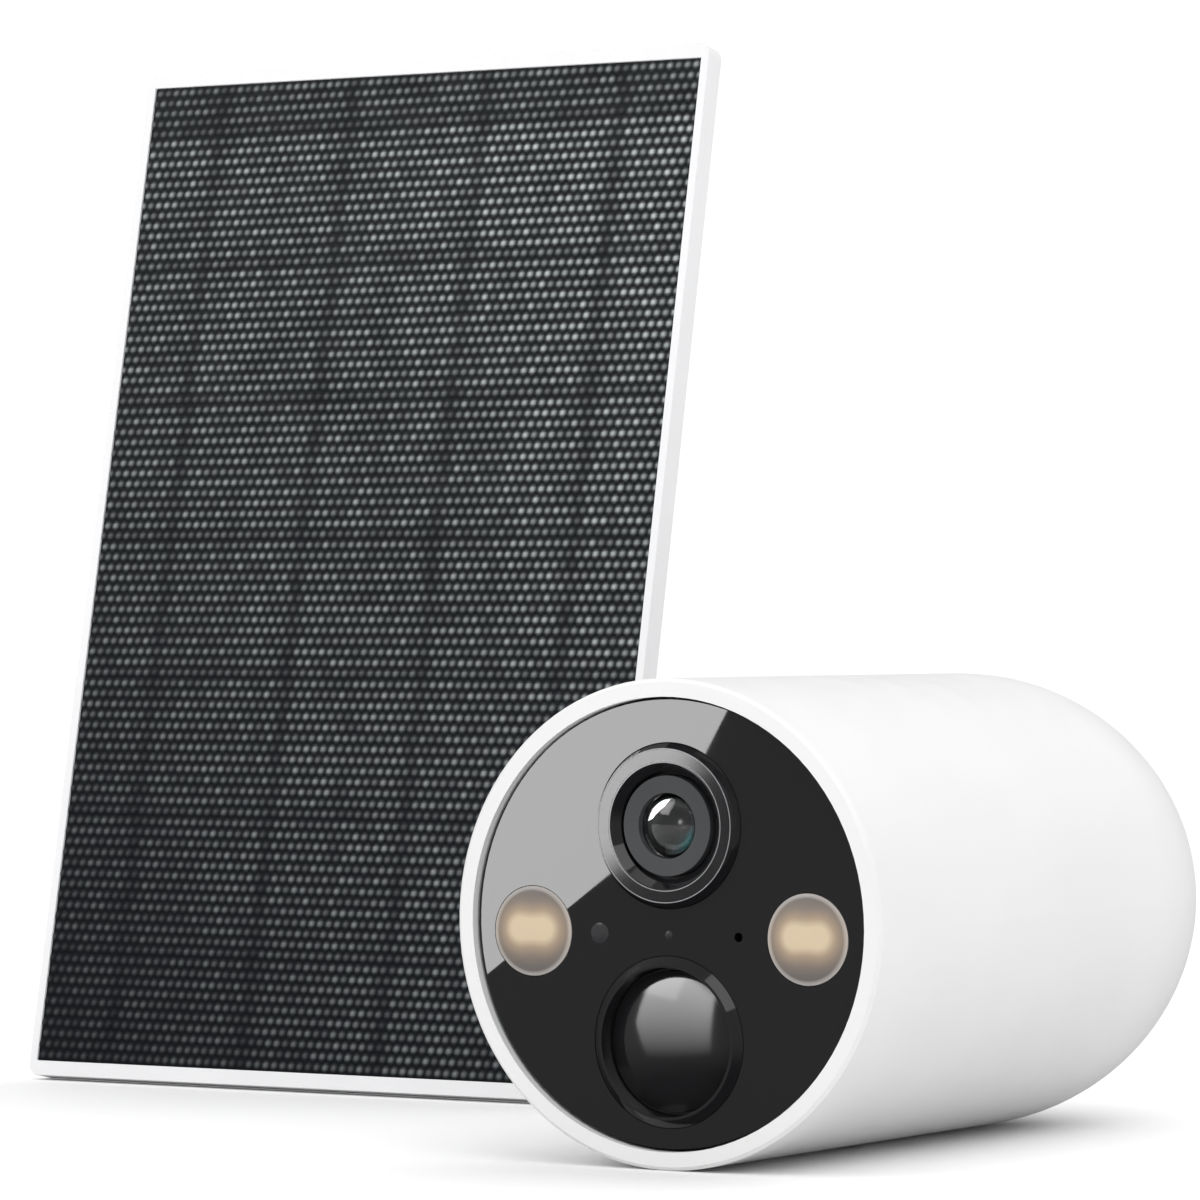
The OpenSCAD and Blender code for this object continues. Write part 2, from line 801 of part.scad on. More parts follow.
module microphone() {
    color(steel) in_camera() span([sensor_x - mic_w / 2, front_board_y - mic_t, -row_down - mic_h / 2],
                                  [sensor_x + mic_w / 2, front_board_y, -row_down + mic_h / 2]);
}

module front_board() {
    color(board_green) in_camera() difference() {
        bar_y(front_board_r, front_board_y, front_board_back);
        bar_y(holder_r + board_clear, front_board_y - cut, front_board_back + cut, 0, lens_up);
    }
}

// ---------- battery, boards and chassis ----------

module each_cell() {
    for (i = [0:cell_count - 1]) translate([(i - (cell_count - 1) / 2) * cell_pitch, 0, cells_z])
        children();
}

module chassis() {
    color(dark_grey) in_camera() intersection() {
        body_solid(shell_wall + fit);
        difference() {
            union() {
                span([-body_r, chassis_front, chassis_bottom], [body_r, chassis_back, chassis_neck_z]);
                span([-chassis_neck_x, chassis_front, chassis_neck_z],
                     [chassis_neck_x, chassis_back, chassis_top]);
                span([-body_r, chassis_front, chassis_neck_z], [body_r, bulkhead_back, ear_top]);
            }
            each_cell() bar_y(cell_r + fit, cells_y - fit, chassis_back + cut);
            span([-ear_inner_x, chassis_front - cut, chassis_top],
                 [ear_inner_x, bulkhead_back + cut, ear_top + cut]);
            at_angles(chassis_screw_angles, chassis_boss_at)
                bar_y(screw_r + fit, chassis_front - cut, bulkhead_back + cut);
        }
    }
}

module chassis_screws() {
    color(steel) in_camera() at_angles(chassis_screw_angles, chassis_boss_at)
        body_screw(chassis_front - screw_head_t, chassis_boss_back - boss_floor - cut);
}

module battery_cells() {
    color([0.20, 0.45, 0.55]) in_camera() each_cell() {
        bar_y(cell_r, cells_y + cell_cap, cells_y + cell_len);
        bar_y(cell_r / 3, cells_y, cells_y + cell_cap);
    }
}

module main_board() {
    color(board_green) in_camera() span([-board_left, board_front, board_z],
                                        [board_right, board_back, board_top]);
}

module processor_shield() {
    color(steel) in_camera() span([shield_x, shield_y, board_top],
                                  [shield_x + shield_w, shield_y + shield_w, board_top + shield_h]);
}

module wifi_antenna() {
    color(board_green) in_camera() span([-antenna_w / 2, board_back - antenna_t, board_top],
                                        [antenna_w / 2, board_back, board_top + antenna_h]);
}

module speaker() {
    color(dark_grey) in_camera() translate([0, speaker_y, speaker_z]) difference() {
        cylinder(r = speaker_r, h = speaker_h);
        translate([0, 0, speaker_dish - speaker_ball_r]) sphere(r = speaker_ball_r);
    }
}

// ---------- port bay ----------

module charge_socket() {
    color(steel) in_camera() difference() {
        span([-bay_floor, socket_y - socket_w / 2, board_top],
             [-bay_floor + socket_depth, socket_y + socket_w / 2, board_top + socket_h]);
        difference() {
            span([-bay_floor - cut, socket_y - socket_w / 2 + socket_wall, board_top + socket_wall],
                 [-bay_floor + socket_depth - 1, socket_y + socket_w / 2 - socket_wall,
                  board_top + socket_h - socket_wall]);
            span([-bay_floor + 1, socket_y - tongue_half, board_top + (socket_h - tongue_t) / 2],
                 [-bay_floor + socket_depth, socket_y + tongue_half,
                  board_top + (socket_h + tongue_t) / 2]);
        }
    }
}

module card_socket() {
    color(steel) in_camera() difference() {
        span([-board_left, card_y - card_w / 2 - card_wall, board_top],
             [-board_left + card_body, card_y + card_w / 2 + card_wall, board_top + card_body_h]);
        span([-board_left - cut, card_y - card_w / 2 + fit, card_slot_z],
             [-board_left + card_body - 1, card_y + card_w / 2 - fit, card_slot_z + card_slot_h]);
    }
}

// Push button along X: its stem, a flange behind the bay's floor, and a neck to the switch
module push_button(r, proud, y) {
    flange_x = -bay_back + fit;
    bar_x(r, -bay_floor - proud, flange_x, y, button_z);
    bar_x(r + button_flange, flange_x, flange_x + flange_t, y, button_z);
    bar_x(r - button_neck, flange_x + flange_t, -button_back, y, button_z);
}

module power_button() {
    color(mid_grey) in_camera() push_button(power_r, power_proud, power_y);
}

module reset_button() {
    color(mid_grey) in_camera() push_button(reset_r, reset_proud, reset_y);
}

module tact_switches() {
    color(black) in_camera() for (y = [power_y, reset_y])
        span([-switch_face, y - switch_w / 2, board_top],
             [-switch_face + switch_t, y + switch_w / 2, button_z + switch_w / 2]);
}

module port_cover() {
    color(white) in_camera() difference() {
        union() {
            intersection() {
                difference() {
                    bar_y(body_r, bay_y + cover_gap, bay_y + bay_len - cover_gap, $fn = fine);
                    bar_y(body_r - cover_t, bay_y, bay_y + bay_len, $fn = fine);
                }
                span([-body_r - cut, bay_y, pin_z], [-inner_r / 2, bay_y + bay_len, bay_z + bay_h]);
                bar_y(cover_reach, bay_y, bay_y + bay_len, -pin_x, pin_z);
            }
            bar_y(knuckle_r, bay_y + cover_gap, bay_y + bay_len - cover_gap, -pin_x, pin_z);
        }
        bar_y(pin_r + pin_play, bay_y, bay_y + bay_len, -pin_x, pin_z);
    }
}

module port_seal() {
    y0 = bay_y + port_seal_w + cover_gap;
    y1 = bay_y + bay_len - port_seal_w - cover_gap;
    z0 = pin_z + knuckle_r + fit;
    z1 = bay_z + bay_h - 3 * cover_gap - fit;
    color(dark_grey) in_camera() intersection() {
        bar_y(body_r - cover_t, y0, y1, $fn = fine);
        difference() {
            span([-body_r, y0, z0], [-bay_floor - fit, y1, z1]);
            span([-body_r, y0 + port_seal_w, z0 + port_seal_w],
                 [-bay_floor, y1 - port_seal_w, z1 - port_seal_w]);
        }
    }
}

module port_hinge_pin() {
    color(steel) in_camera() bar_y(pin_r, pin_start, pin_end, -pin_x, pin_z);
}

module tripod_insert() {
    color(brass) in_camera() translate([0, insert_y, -body_r + insert_sink]) difference() {
        cylinder(r = insert_r, h = insert_len);
        translate([0, 0, -cut]) cylinder(r = insert_bore_r, h = insert_bore_len + cut);
    }
}

// ---------- solar panel ----------

// Upright plate in the panel's frame: its front at n, centred across, from s0 up
module plate(w, h, t, n, s0) {
    translate([-w / 2, n, s0]) cube([w, t, h]);
}

module panel_frame() {
    color(white) in_panel() difference() {
        translate([0, panel_t, panel_h / 2]) rotate([90, 0, 0])
            round_box(panel_w, panel_h, panel_corner_r, panel_t);
        plate(pocket_w, pocket_h, pocket_depth + cut, -cut, border_end);
        at_columns() bar_y(housing_screw_r, pocket_depth - cut, panel_t + cut);
    }
}

module panel_backing() {
    color(black) in_panel() plate(pocket_w - 2 * fit, pocket_h - 2 * fit, backing_t, backing_n,
                                  border_end + fit);
}

module solar_cells() {
    color([0.08, 0.10, 0.18]) in_panel() for (i = [0:cell_cols - 1], j = [0:cell_rows - 1])
        translate([(i - cell_cols / 2) * cell_col + cell_gap / 2, cells_n,
                   cells_top - (j + 1) * cell_row + cell_gap / 2])
            cube([cell_col - cell_gap, cells_t, cell_row - cell_gap]);
}

module cell_ribbons() {
    run = cell_rows * cell_row;
    color(steel) in_panel() {
        for (i = [0:cell_cols - 1])
            translate([(i - cell_cols / 2 + 0.5) * cell_col - ribbon_w / 2, ribbon_n, cells_top - run])
                cube([ribbon_w, ribbon_t, run + ribbon_over]);
        plate(cell_cols * cell_col - cell_gap, cross_ribbon_w, ribbon_t, ribbon_n,
              cells_top + ribbon_over);
    }
}

module panel_film() {
    color([0.05, 0.05, 0.06]) in_panel() plate(pocket_w - 2 * fit, pocket_h - 2 * fit, film_t, film_n,
                                               border_end + fit);
}

module at_columns() {
    for (x = [-column_x, column_x], z = [-column_z, column_z]) translate([x, 0, housing_mid + z])
        children();
}

module at_lug_screws() {
    for (x = [-lug_screw_x, lug_screw_x], z = [-lug_screw_z, lug_screw_z])
        translate([x, 0, tilt_s + z]) children();
}

// The housing's block with its sides moved in by `inset`, from n0 to n1
module housing_block(inset, n0, n1) {
    translate([0, n1, housing_mid]) rotate([90, 0, 0])
        round_box(housing_w - 2 * inset, housing_h - 2 * inset, housing_corner_r - inset, n1 - n0);
}

module rear_housing() {
    color(white) in_panel() difference() {
        housing_block(0, housing_n, housing_back);
        difference() {
            housing_block(housing_wall, housing_n - cut, housing_back - housing_wall);
            at_columns() bar_y(column_r, housing_n - cut, housing_back);
        }
        at_columns() bar_y(housing_screw_r + fit, housing_n - cut, housing_back + cut);
        at_lug_screws() bar_y(housing_screw_r, housing_back - housing_wall - cut, housing_back + cut);
        translate([0, gland_n, housing_mid - housing_h / 2 - cut])
            cylinder(r = gland_r, h = housing_wall + 2 * cut);
    }
}

module charge_board() {
    color(board_green) in_panel() plate(charge_board_w, charge_board_h, board_t,
                                        housing_back - housing_wall - board_t,
                                        housing_mid - charge_board_h / 2 + charge_board_up);
}

module cable_gland() {
    base = housing_mid - housing_h / 2;
    color(dark_grey) in_panel() translate([0, gland_n, base]) difference() {
        union() {
            cylinder(r = gland_r, h = housing_wall);
            translate([0, 0, -gland_out]) cylinder(r = gland_nut_r, h = gland_out);
            translate([0, 0, housing_wall]) cylinder(r = gland_nut_r, h = gland_in);
        }
        translate([0, 0, -gland_out - cut])
            cylinder(r = gland_bore_r, h = gland_out + housing_wall + gland_in + 2 * cut);
    }
}

// Screw into the panel from behind whose head's back is at n
module panel_screw(n, depth) {
    difference() {
        union() {
            bar_y(housing_head_r, n - housing_head_t, n);
            bar_y(housing_screw_r, n - housing_head_t - depth, n - housing_head_t);
        }
        bar_y(housing_slot_r, n - housing_head_t / 2, n + cut);
    }
}

module panel_screws() {
    lug_back = housing_back + lug_flange_t;
    color(steel) in_panel() {
        at_columns() panel_screw(housing_back + housing_head_t, housing_back - pocket_depth - screw_short);
        at_lug_screws() panel_screw(lug_back + housing_head_t, lug_flange_t + housing_wall - screw_short);
    }
}

// ---------- bracket ----------

module tilt_lug() {
    color(white) in_panel() difference() {
        union() {
            plate(lug_flange_w, lug_flange_h, lug_flange_t, housing_back, tilt_s - lug_flange_h / 2);
            translate([-tongue_w / 2, housing_back, tilt_s - lug_r])
                cube([tongue_w, tilt_reach, 2 * lug_r]);
            bar_x(lug_r, -tongue_w / 2, tongue_w / 2, tilt_n, tilt_s);
        }
        bar_x(tilt_bolt_r + running, -tongue_w, tongue_w, tilt_n, tilt_s);
        at_lug_screws() bar_y(housing_screw_r + fit, housing_back - cut,
                              housing_back + lug_flange_t + cut);
    }
}

module tilt_bolt() {
    color(steel) in_stand() {
        bar_x(tilt_bolt_r, -arm_w / 2, arm_w / 2 + knob_gap + knob_t - knob_cap_t - bolt_short,
              tilt_y, tilt_z);
        bar_x(bolt_head_r, -arm_w / 2 - bolt_head_t, -arm_w / 2, tilt_y, tilt_z);
    }
}

module tilt_knob() {
    start = arm_w / 2 + knob_gap;
    color(dark_grey) in_stand() difference() {
        union() {
            bar_x(knob_hub_r, start, start + knob_hub_t, tilt_y, tilt_z);
            bar_x(knob_r, start + knob_hub_t, start + knob_t, tilt_y, tilt_z);
        }
        bar_x(tilt_bolt_r + running, start - cut, start + knob_t - knob_cap_t, tilt_y, tilt_z);
        for (i = [0:knob_lobes - 1]) translate([0, tilt_y, tilt_z]) rotate([i * 360 / knob_lobes, 0, 0])
            bar_x(knob_groove_r, start + knob_hub_t - cut, start + knob_t + cut, 0, knob_r + 1);
    }
}

module tilt_washers() {
    color(black) in_stand() for (side = [-1, 1]) difference() {
        bar_x(washer_r, side > 0 ? ear_in - washer_t : -ear_in, side > 0 ? ear_in : -ear_in + washer_t,
              tilt_y, tilt_z);
        bar_x(tilt_bolt_r, -arm_w, arm_w, tilt_y, tilt_z);
    }
}

// Side outline of the arm above its foot, back along x and up along y
module arm_outline() {
    hull() {
        translate([tilt_y, tilt_z]) circle(r = ear_r, $fn = 64);
        translate([swivel_y - column_d / 2, column_top - 1]) square([column_d, 1]);
    }
    translate([swivel_y - column_d / 2, foot_z]) square([column_d, column_top - foot_z]);
}

module bracket_arm() {
    color(white) in_stand() difference() {
        union() {
            translate([-arm_w / 2, 0, 0]) rotate([90, 0, 90]) linear_extrude(arm_w) arm_outline();
            translate([0, swivel_y, foot_z]) cylinder(r = foot_r, h = foot_h);
        }
        bar_x(slot_r, -ear_in, ear_in, tilt_y, tilt_z);
        bar_x(tilt_bolt_r, -arm_w, arm_w, tilt_y, tilt_z);
        translate([0, swivel_y, foot_z - cut]) cylinder(r = swivel_bolt_r, h = thread_depth + cut);
    }
}

module swivel_washer() {
    color(black) in_stand() translate([0, swivel_y, plate_boss_top]) difference() {
        cylinder(r = swivel_washer_r, h = swivel_washer_t);
        translate([0, 0, -cut]) cylinder(r = swivel_bolt_r + running, h = swivel_washer_t + 2 * cut);
    }
}

module swivel_bolt() {
    color(steel) in_stand() translate([0, swivel_y, swivel_head_sink]) difference() {
        union() {
            cylinder(r = swivel_head_r, h = swivel_head_t);
            cylinder(r = swivel_bolt_r, h = foot_z + thread_depth - swivel_head_sink - 1);
        }
        translate([0, 0, -cut]) cylinder(r = hex_r, h = hex_depth + cut, $fn = 6);
    }
}

module wall_plate() {
    color(white) in_stand() translate([0, swivel_y, 0]) difference() {
        union() {
            cylinder(r = plate_r, h = plate_t);
            cylinder(r = plate_boss_r, h = plate_boss_top);
        }
        translate([0, 0, -cut]) {
            cylinder(r = swivel_bolt_r + running, h = plate_boss_top + 2 * cut);
            cylinder(r = swivel_head_r + counterbore_gap, h = counterbore_top + cut);
            for (i = [0:plate_screws - 1]) rotate([0, 0, 90 + i * 360 / plate_screws])
                translate([screw_circle_d / 2, 0, 0]) cylinder(r = screw_hole_r, h = plate_t + 2 * cut);
        }
    }
}

camera_shell();
front_carrier();
carrier_seal();
carrier_screws();
front_glass();
lens_bezel();
lens_barrel();
lens_front_element();
lens_rear_element();
lens_holder();
ir_cut_filter();
image_sensor();
sensor_board();
spotlight_window_left();
spotlight_window_right();
spotlight_reflectors();
spotlight_leds();
spotlight_boards();
pir_ring();
pir_lens();
pir_sensor();
light_sensor_window();
status_light_pipe();
status_led();
microphone();
front_board();
chassis();
chassis_screws();
main_board();
processor_shield();
wifi_antenna();
battery_cells();
speaker();
charge_socket();
card_socket();
tact_switches();
power_button();
reset_button();
port_cover();
port_seal();
port_hinge_pin();
tripod_insert();
panel_frame();
panel_backing();
solar_cells();
cell_ribbons();
panel_film();
rear_housing();
charge_board();
cable_gland();
panel_screws();
tilt_lug();
tilt_bolt();
tilt_knob();
tilt_washers();
bracket_arm();
swivel_washer();
swivel_bolt();
wall_plate();
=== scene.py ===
"""Looks of the solar-powered security camera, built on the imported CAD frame. Metres, +Z up."""
import math

import bmesh
import bpy
import numpy as np
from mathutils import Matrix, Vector


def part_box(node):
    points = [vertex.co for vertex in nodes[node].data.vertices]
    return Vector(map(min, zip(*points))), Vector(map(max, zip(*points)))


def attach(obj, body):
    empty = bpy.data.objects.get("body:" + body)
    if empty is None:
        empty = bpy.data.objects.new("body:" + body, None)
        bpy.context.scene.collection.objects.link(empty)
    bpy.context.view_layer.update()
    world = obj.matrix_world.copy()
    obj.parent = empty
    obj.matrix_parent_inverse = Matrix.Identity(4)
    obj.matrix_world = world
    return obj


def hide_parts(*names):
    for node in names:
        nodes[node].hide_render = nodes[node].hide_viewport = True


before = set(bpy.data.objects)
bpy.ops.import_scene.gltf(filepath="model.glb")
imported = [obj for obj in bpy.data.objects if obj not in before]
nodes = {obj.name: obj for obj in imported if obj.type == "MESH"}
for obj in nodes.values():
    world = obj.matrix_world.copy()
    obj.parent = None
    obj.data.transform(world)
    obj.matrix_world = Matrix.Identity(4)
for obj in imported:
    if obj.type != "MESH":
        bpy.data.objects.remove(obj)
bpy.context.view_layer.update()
MM = 0.001
SAME_POINT = 1e-7            # points closer than this are one

# ---------- places and pieces ----------


def middle(node):
    low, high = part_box(node)
    return (low + high) / 2


def half_width(node):
    low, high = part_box(node)
    return (high.x - low.x) / 2


def add_object(name, data):
    thing = bpy.data.objects.new(name, data)
    bpy.context.scene.collection.objects.link(thing)
    return thing


def place(name, mesh, surface, body, replaces=()):
    """Adds a visible piece that moves with a CAD body."""
    mesh.materials.append(surface)
    piece = add_object(name, mesh)
    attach(piece, body)
    if replaces:
        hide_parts(*replaces)
    return piece


def smooth(piece, sharp_degrees=35):
    mesh = piece.data
    mesh.polygons.foreach_set("use_smooth", [True] * len(mesh.polygons))
    mesh.set_sharp_from_angle(angle=math.radians(sharp_degrees))


def turned_piece(name, profile, centre, surface, steps=160, replaces=()):
    """A piece turned about a Y axis through centre, from a closed profile of (radius, y) points."""
    shape = bmesh.new()
    rings = []
    for step in range(steps):
        turn = math.tau * step / steps
        cosine, sine = math.cos(turn), math.sin(turn)
        ring = [shape.verts.new((centre.x + radius * cosine, y, centre.z + radius * sine))
                for radius, y in profile]
        rings.append(ring)
    count = len(profile)
    for step in range(steps):
        near, far = rings[step], rings[(step + 1) % steps]
        for i in range(count):
            j = (i + 1) % count
            if profile[i][0] or profile[j][0]:
                shape.faces.new((near[i], near[j], far[j], far[i]))
    bmesh.ops.remove_doubles(shape, verts=shape.verts, dist=SAME_POINT)
    bmesh.ops.recalc_face_normals(shape, faces=shape.faces)
    mesh = bpy.data.meshes.new(name)
    shape.to_mesh(mesh)
    shape.free()
    piece = place(name, mesh, surface, "camera", replaces)
    smooth(piece)
    return piece


def dome_arc(radius, front, sag, steps=14):
    """Profile of a shallow dome, from its middle to its edge."""
    ball = (radius ** 2 + sag ** 2) / (2 * sag)
    full = math.asin(radius / ball)
    return [(ball * math.sin(a), front + ball * (1 - math.cos(a))) for a in np.linspace(0, full, steps)]


def domed_piece(name, node, surface):
    """Stands for a round CAD window with a domed front, with the dome turned finely."""
    low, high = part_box(node)
    centre = middle(node)
    radius = half_width(node)
    wall = 0.99 * radius      # points farther out than this are on the window's straight side
    edge = min(v.co.y for v in nodes[node].data.vertices
               if math.hypot(v.co.x - centre.x, v.co.z - centre.z) > wall)
    profile = dome_arc(radius, low.y, edge - low.y) + [(radius, high.y), (0, high.y)]
    return turned_piece(name, profile, centre, surface, 96, [node])


# ---------- material tools ----------


def new_node(tree, kind, **sockets):
    """Adds a shader node and sets its input sockets: From_Min sets the socket named From Min."""
    node = tree.nodes.new("ShaderNode" + kind)
    for socket, value in sockets.items():
        node.inputs[socket.replace("_", " ")].default_value = value
    return node


def principled(name, color, roughness, metallic=0.0, **sockets):
    surface = bpy.data.materials.new(name)
    surface.use_nodes = True
    tree = surface.node_tree
    shader = tree.nodes["Principled BSDF"]
    shader.inputs["Base Color"].default_value = (*color, 1)
    shader.inputs["Roughness"].default_value = roughness
    shader.inputs["Metallic"].default_value = metallic
    for socket, value in sockets.items():
        shader.inputs[socket.replace("_", " ")].default_value = value
    return surface, tree, shader


def add_noise(tree, scale, detail=3, stretch=(1, 1, 1)):
    """Noise in the object's own space; stretch draws it out along an axis."""
    coords = new_node(tree, "TexCoord")
    mapping = new_node(tree, "Mapping", Scale=stretch)
    noise = new_node(tree, "TexNoise", Scale=scale, Detail=detail)
    tree.links.new(coords.outputs["Object"], mapping.inputs["Vector"])
    tree.links.new(mapping.outputs["Vector"], noise.inputs["Vector"])
    return noise


def as_color(value):
    """A colour with alpha, from a colour or from one level of grey."""
    return (*value, 1) if isinstance(value, tuple) else (value, value, value, 1)


def ramp(tree, noise, low, high, socket, start=0.3, end=0.7):
    """Feeds a shader socket with the noise, drawn between two colours or two levels of grey."""
    colors = new_node(tree, "ValToRGB")
    first, last = colors.color_ramp.elements
    first.position, last.position = start, end
    first.color, last.color = as_color(low), as_color(high)
    tree.links.new(noise.outputs["Fac"], colors.inputs["Fac"])
    tree.links.new(colors.outputs["Color"], tree.nodes["Principled BSDF"].inputs[socket])


def bump(tree, noise, strength, distance):
    relief = new_node(tree, "Bump", Strength=strength, Distance=distance)
    tree.links.new(noise.outputs["Fac"], relief.inputs["Height"])
    tree.links.new(relief.outputs["Normal"], tree.nodes["Principled BSDF"].inputs["Normal"])


def soft_spots(tree, spots):
    """Adds up soft round spots, each (x, z, width, height) in shares of the piece's own box."""
    coords = new_node(tree, "TexCoord")
    total = None
    for x, z, wide, tall in spots:
        mapping = new_node(tree, "Mapping", Location=(-x / wide, 0, -z / tall),
                           Scale=(1 / wide, 0, 1 / tall))
        spot = new_node(tree, "TexGradient")
        spot.gradient_type = "QUADRATIC_SPHERE"
        tree.links.new(coords.outputs["Generated"], mapping.inputs["Vector"])
        tree.links.new(mapping.outputs["Vector"], spot.inputs["Vector"])
        if total is None:
            total = spot.outputs["Fac"]
            continue
        both = new_node(tree, "Math")
        both.operation = "ADD"
        tree.links.new(total, both.inputs[0])
        tree.links.new(spot.outputs["Fac"], both.inputs[1])
        total = both.outputs["Value"]
    return total


def color_steps(tree, factor, steps):
    """A colour ramp over factor, from (position, colour) steps."""
    colors = new_node(tree, "ValToRGB")
    elements = colors.color_ramp.elements
    elements[0].position, elements[1].position = steps[0][0], steps[-1][0]
    elements[0].color, elements[1].color = as_color(steps[0][1]), as_color(steps[-1][1])
    for position, color in steps[1:-1]:
        elements.new(position).color = as_color(color)
    tree.links.new(factor, colors.inputs["Fac"])
    return colors.outputs["Color"]


# ---------- materials ----------

FINE_RELIEF = 0.01 * MM      # depth of moulded grain, brushing and frosting


def moulded_plastic(name, color, roughness, grain=2600.0, spread=0.012):
    """Moulded plastic: slight colour drift, uneven gloss, and a fine spark-eroded grain."""
    surface, tree, _ = principled(name, color, roughness)
    low = tuple(max(0.0, c - spread) for c in color)
    high = tuple(min(1.0, c + spread) for c in color)
    ramp(tree, add_noise(tree, 35.0, 2), low, high, "Base Color")
    ramp(tree, add_noise(tree, 180.0, 4), roughness - 0.04, roughness + 0.05, "Roughness")
    bump(tree, add_noise(tree, grain, 2), 0.25, FINE_RELIEF)
    return surface


def gloss_plastic(name, color, roughness, smear=0.02):
    """Polished plastic or lacquered glass: a clear gloss with faint handling marks in it."""
    surface, tree, _ = principled(name, color, roughness, IOR=1.5)
    marks = add_noise(tree, 60.0, 5, (1, 1, 2.5))
    ramp(tree, marks, roughness, roughness + smear, "Roughness", 0.45, 0.8)
    low = tuple(0.85 * c for c in color)
    ramp(tree, add_noise(tree, 25.0, 2), low, color, "Base Color")
    return surface


def brushed_metal(name, color, roughness):
    brushing = (1, 1, 40)
    surface, tree, _ = principled(name, color, roughness, metallic=1.0)
    dark = tuple(0.82 * c for c in color)
    ramp(tree, add_noise(tree, 300.0, 4, brushing), dark, color, "Base Color")
    ramp(tree, add_noise(tree, 500.0, 3, brushing), roughness - 0.08, roughness + 0.1, "Roughness")
    bump(tree, add_noise(tree, 900.0, 2, brushing), 0.15, FINE_RELIEF)
    return surface


def clear_glass(name, tint, coating_nm=0.0):
    surface, tree, shader = principled(name, tint, 0.0, IOR=1.52, Transmission_Weight=1.0)
    if coating_nm:
        shader.inputs["Thin Film Thickness"].default_value = coating_nm
        shader.inputs["Thin Film IOR"].default_value = 1.38
    low = tuple(0.97 * c for c in tint)
    ramp(tree, add_noise(tree, 60.0, 2), low, tint, "Base Color")
    return surface


def circuit_board():
    """Green lacquer over a net of copper traces."""
    surface, tree, shader = principled("circuit_board", (0.02, 0.16, 0.07), 0.35)
    traces = new_node(tree, "TexBrick", Scale=220.0, Mortar_Size=0.03, Color1=(0.015, 0.13, 0.06, 1),
                      Color2=(0.02, 0.18, 0.08, 1), Mortar=(0.06, 0.34, 0.14, 1))
    coords = new_node(tree, "TexCoord")
    tree.links.new(coords.outputs["Object"], traces.inputs["Vector"])
    tree.links.new(traces.outputs["Color"], shader.inputs["Base Color"])
    ramp(tree, add_noise(tree, 400.0, 3), 0.28, 0.42, "Roughness")
    return surface


def frosted_window():
    """Frosted lens: grey, with a painted highlight ring at its edge and a painted warm glow across the
    middle where two light chips lie behind it.
    """
    surface, tree, shader = principled(
        "frosted_window", (0.3, 0.28, 0.26), 0.30, IOR=1.49, Coat_Weight=0.5, Coat_Roughness=0.08,
        Subsurface_Weight=0.15, Subsurface_Radius=(0.0012, 0.0008, 0.0005))
    # Painted glow: soft warm spots where the light chips behind the window would shine through it.
    painted_glow_haze = (0.5, 0.52, 0.85, 0.55)
    left_chip_glow = (0.33, 0.53, 0.34, 0.40)
    right_chip_glow = (0.68, 0.53, 0.34, 0.40)
    glow = soft_spots(tree, (painted_glow_haze, left_chip_glow, right_chip_glow))
    painted_warm_glow = color_steps(tree, glow, (
        (0, (0.13, 0.12, 0.115)),
        (0.55, (0.36, 0.27, 0.19)),
        (1, (0.60, 0.48, 0.33))))
    # Painted highlight: a thin lighter ring at the window's edge.
    rim_highlight_mask = soft_spots(tree, ((0.5, 0.5, 0.5, 0.5),))
    rim = color_steps(tree, rim_highlight_mask, ((0, (0.22, 0.21, 0.20)), (0.012, (0, 0, 0))))
    glow_plus_rim_highlight = tree.nodes.new("ShaderNodeMix")
    glow_plus_rim_highlight.data_type = "RGBA"
    glow_plus_rim_highlight.blend_type = "ADD"
    glow_plus_rim_highlight.inputs["Factor"].default_value = 1.0
    tree.links.new(painted_warm_glow, glow_plus_rim_highlight.inputs["A"])
    tree.links.new(rim, glow_plus_rim_highlight.inputs["B"])
    tree.links.new(glow_plus_rim_highlight.outputs["Result"], shader.inputs["Base Color"])
    ramp(tree, add_noise(tree, 900.0, 3), 0.28, 0.36, "Roughness")
    bump(tree, add_noise(tree, 1800.0, 2), 0.1, FINE_RELIEF)
    return surface


def glass_with_painted_spots(name, spots, steps, roughness, ior):
    """Dark glossy glass with painted coloured reflections and highlights that show as soft spots."""
    surface, tree, shader = principled(name, (0, 0, 0), roughness, IOR=ior)
    tree.links.new(color_steps(tree, soft_spots(tree, spots), steps), shader.inputs["Base Color"])
    ramp(tree, add_noise(tree, 300.0, 3), roughness, roughness + 0.03, "Roughness")
    return surface


def cell_with_painted_reflection():
    """Blackened inside of the lens, with a painted teal reflection at its lower right."""
    # Painted reflection: a teal spot at the lower right, where the cell would mirror light.
    black, deep_teal_reflection, teal_reflection = (0.001, 0.003, 0.004), (0.006, 0.05, 0.06), (0.05, 0.33, 0.33)
    return glass_with_painted_spots("lens_cell", ((0.70, 0.30, 0.42, 0.46),),
                  ((0, black), (0.3, deep_teal_reflection), (1, teal_reflection)), 0.15, 1.25)


def lens_highlight():
    """Innermost glass of the lens, with a pale highlight at its upper left."""
    black, grey, pale = (0.001, 0.002, 0.003), (0.25, 0.23, 0.24), (0.9, 0.9, 0.9)
    return glass_with_painted_spots("lens_core", ((0.35, 0.68, 0.36, 0.30),),
                  ((0, black), (0.3, grey), (0.8, pale)), 0.05, 1.4)


def film_surface():
    """Black gloss film with painted grey highlights on its dots, over the silicon cells under them."""
    surface, tree, shader = principled("film", (0.01, 0.01, 0.012), 0.3, Specular_IOR_Level=0.09)
    # The shade attribute holds the painted highlight on each dot.
    shade = tree.nodes.new("ShaderNodeAttribute")
    shade.attribute_name = "shade"
    between_dots, dot_highlight = (0.003, 0.004, 0.006), (0.44, 0.47, 0.47)
    color = color_steps(tree, shade.outputs["Fac"], ((0, between_dots), (1, dot_highlight)))
    tree.links.new(color, shader.inputs["Base Color"])
    ramp(tree, add_noise(tree, 150.0, 3), 0.26, 0.42, "Roughness")
    return surface


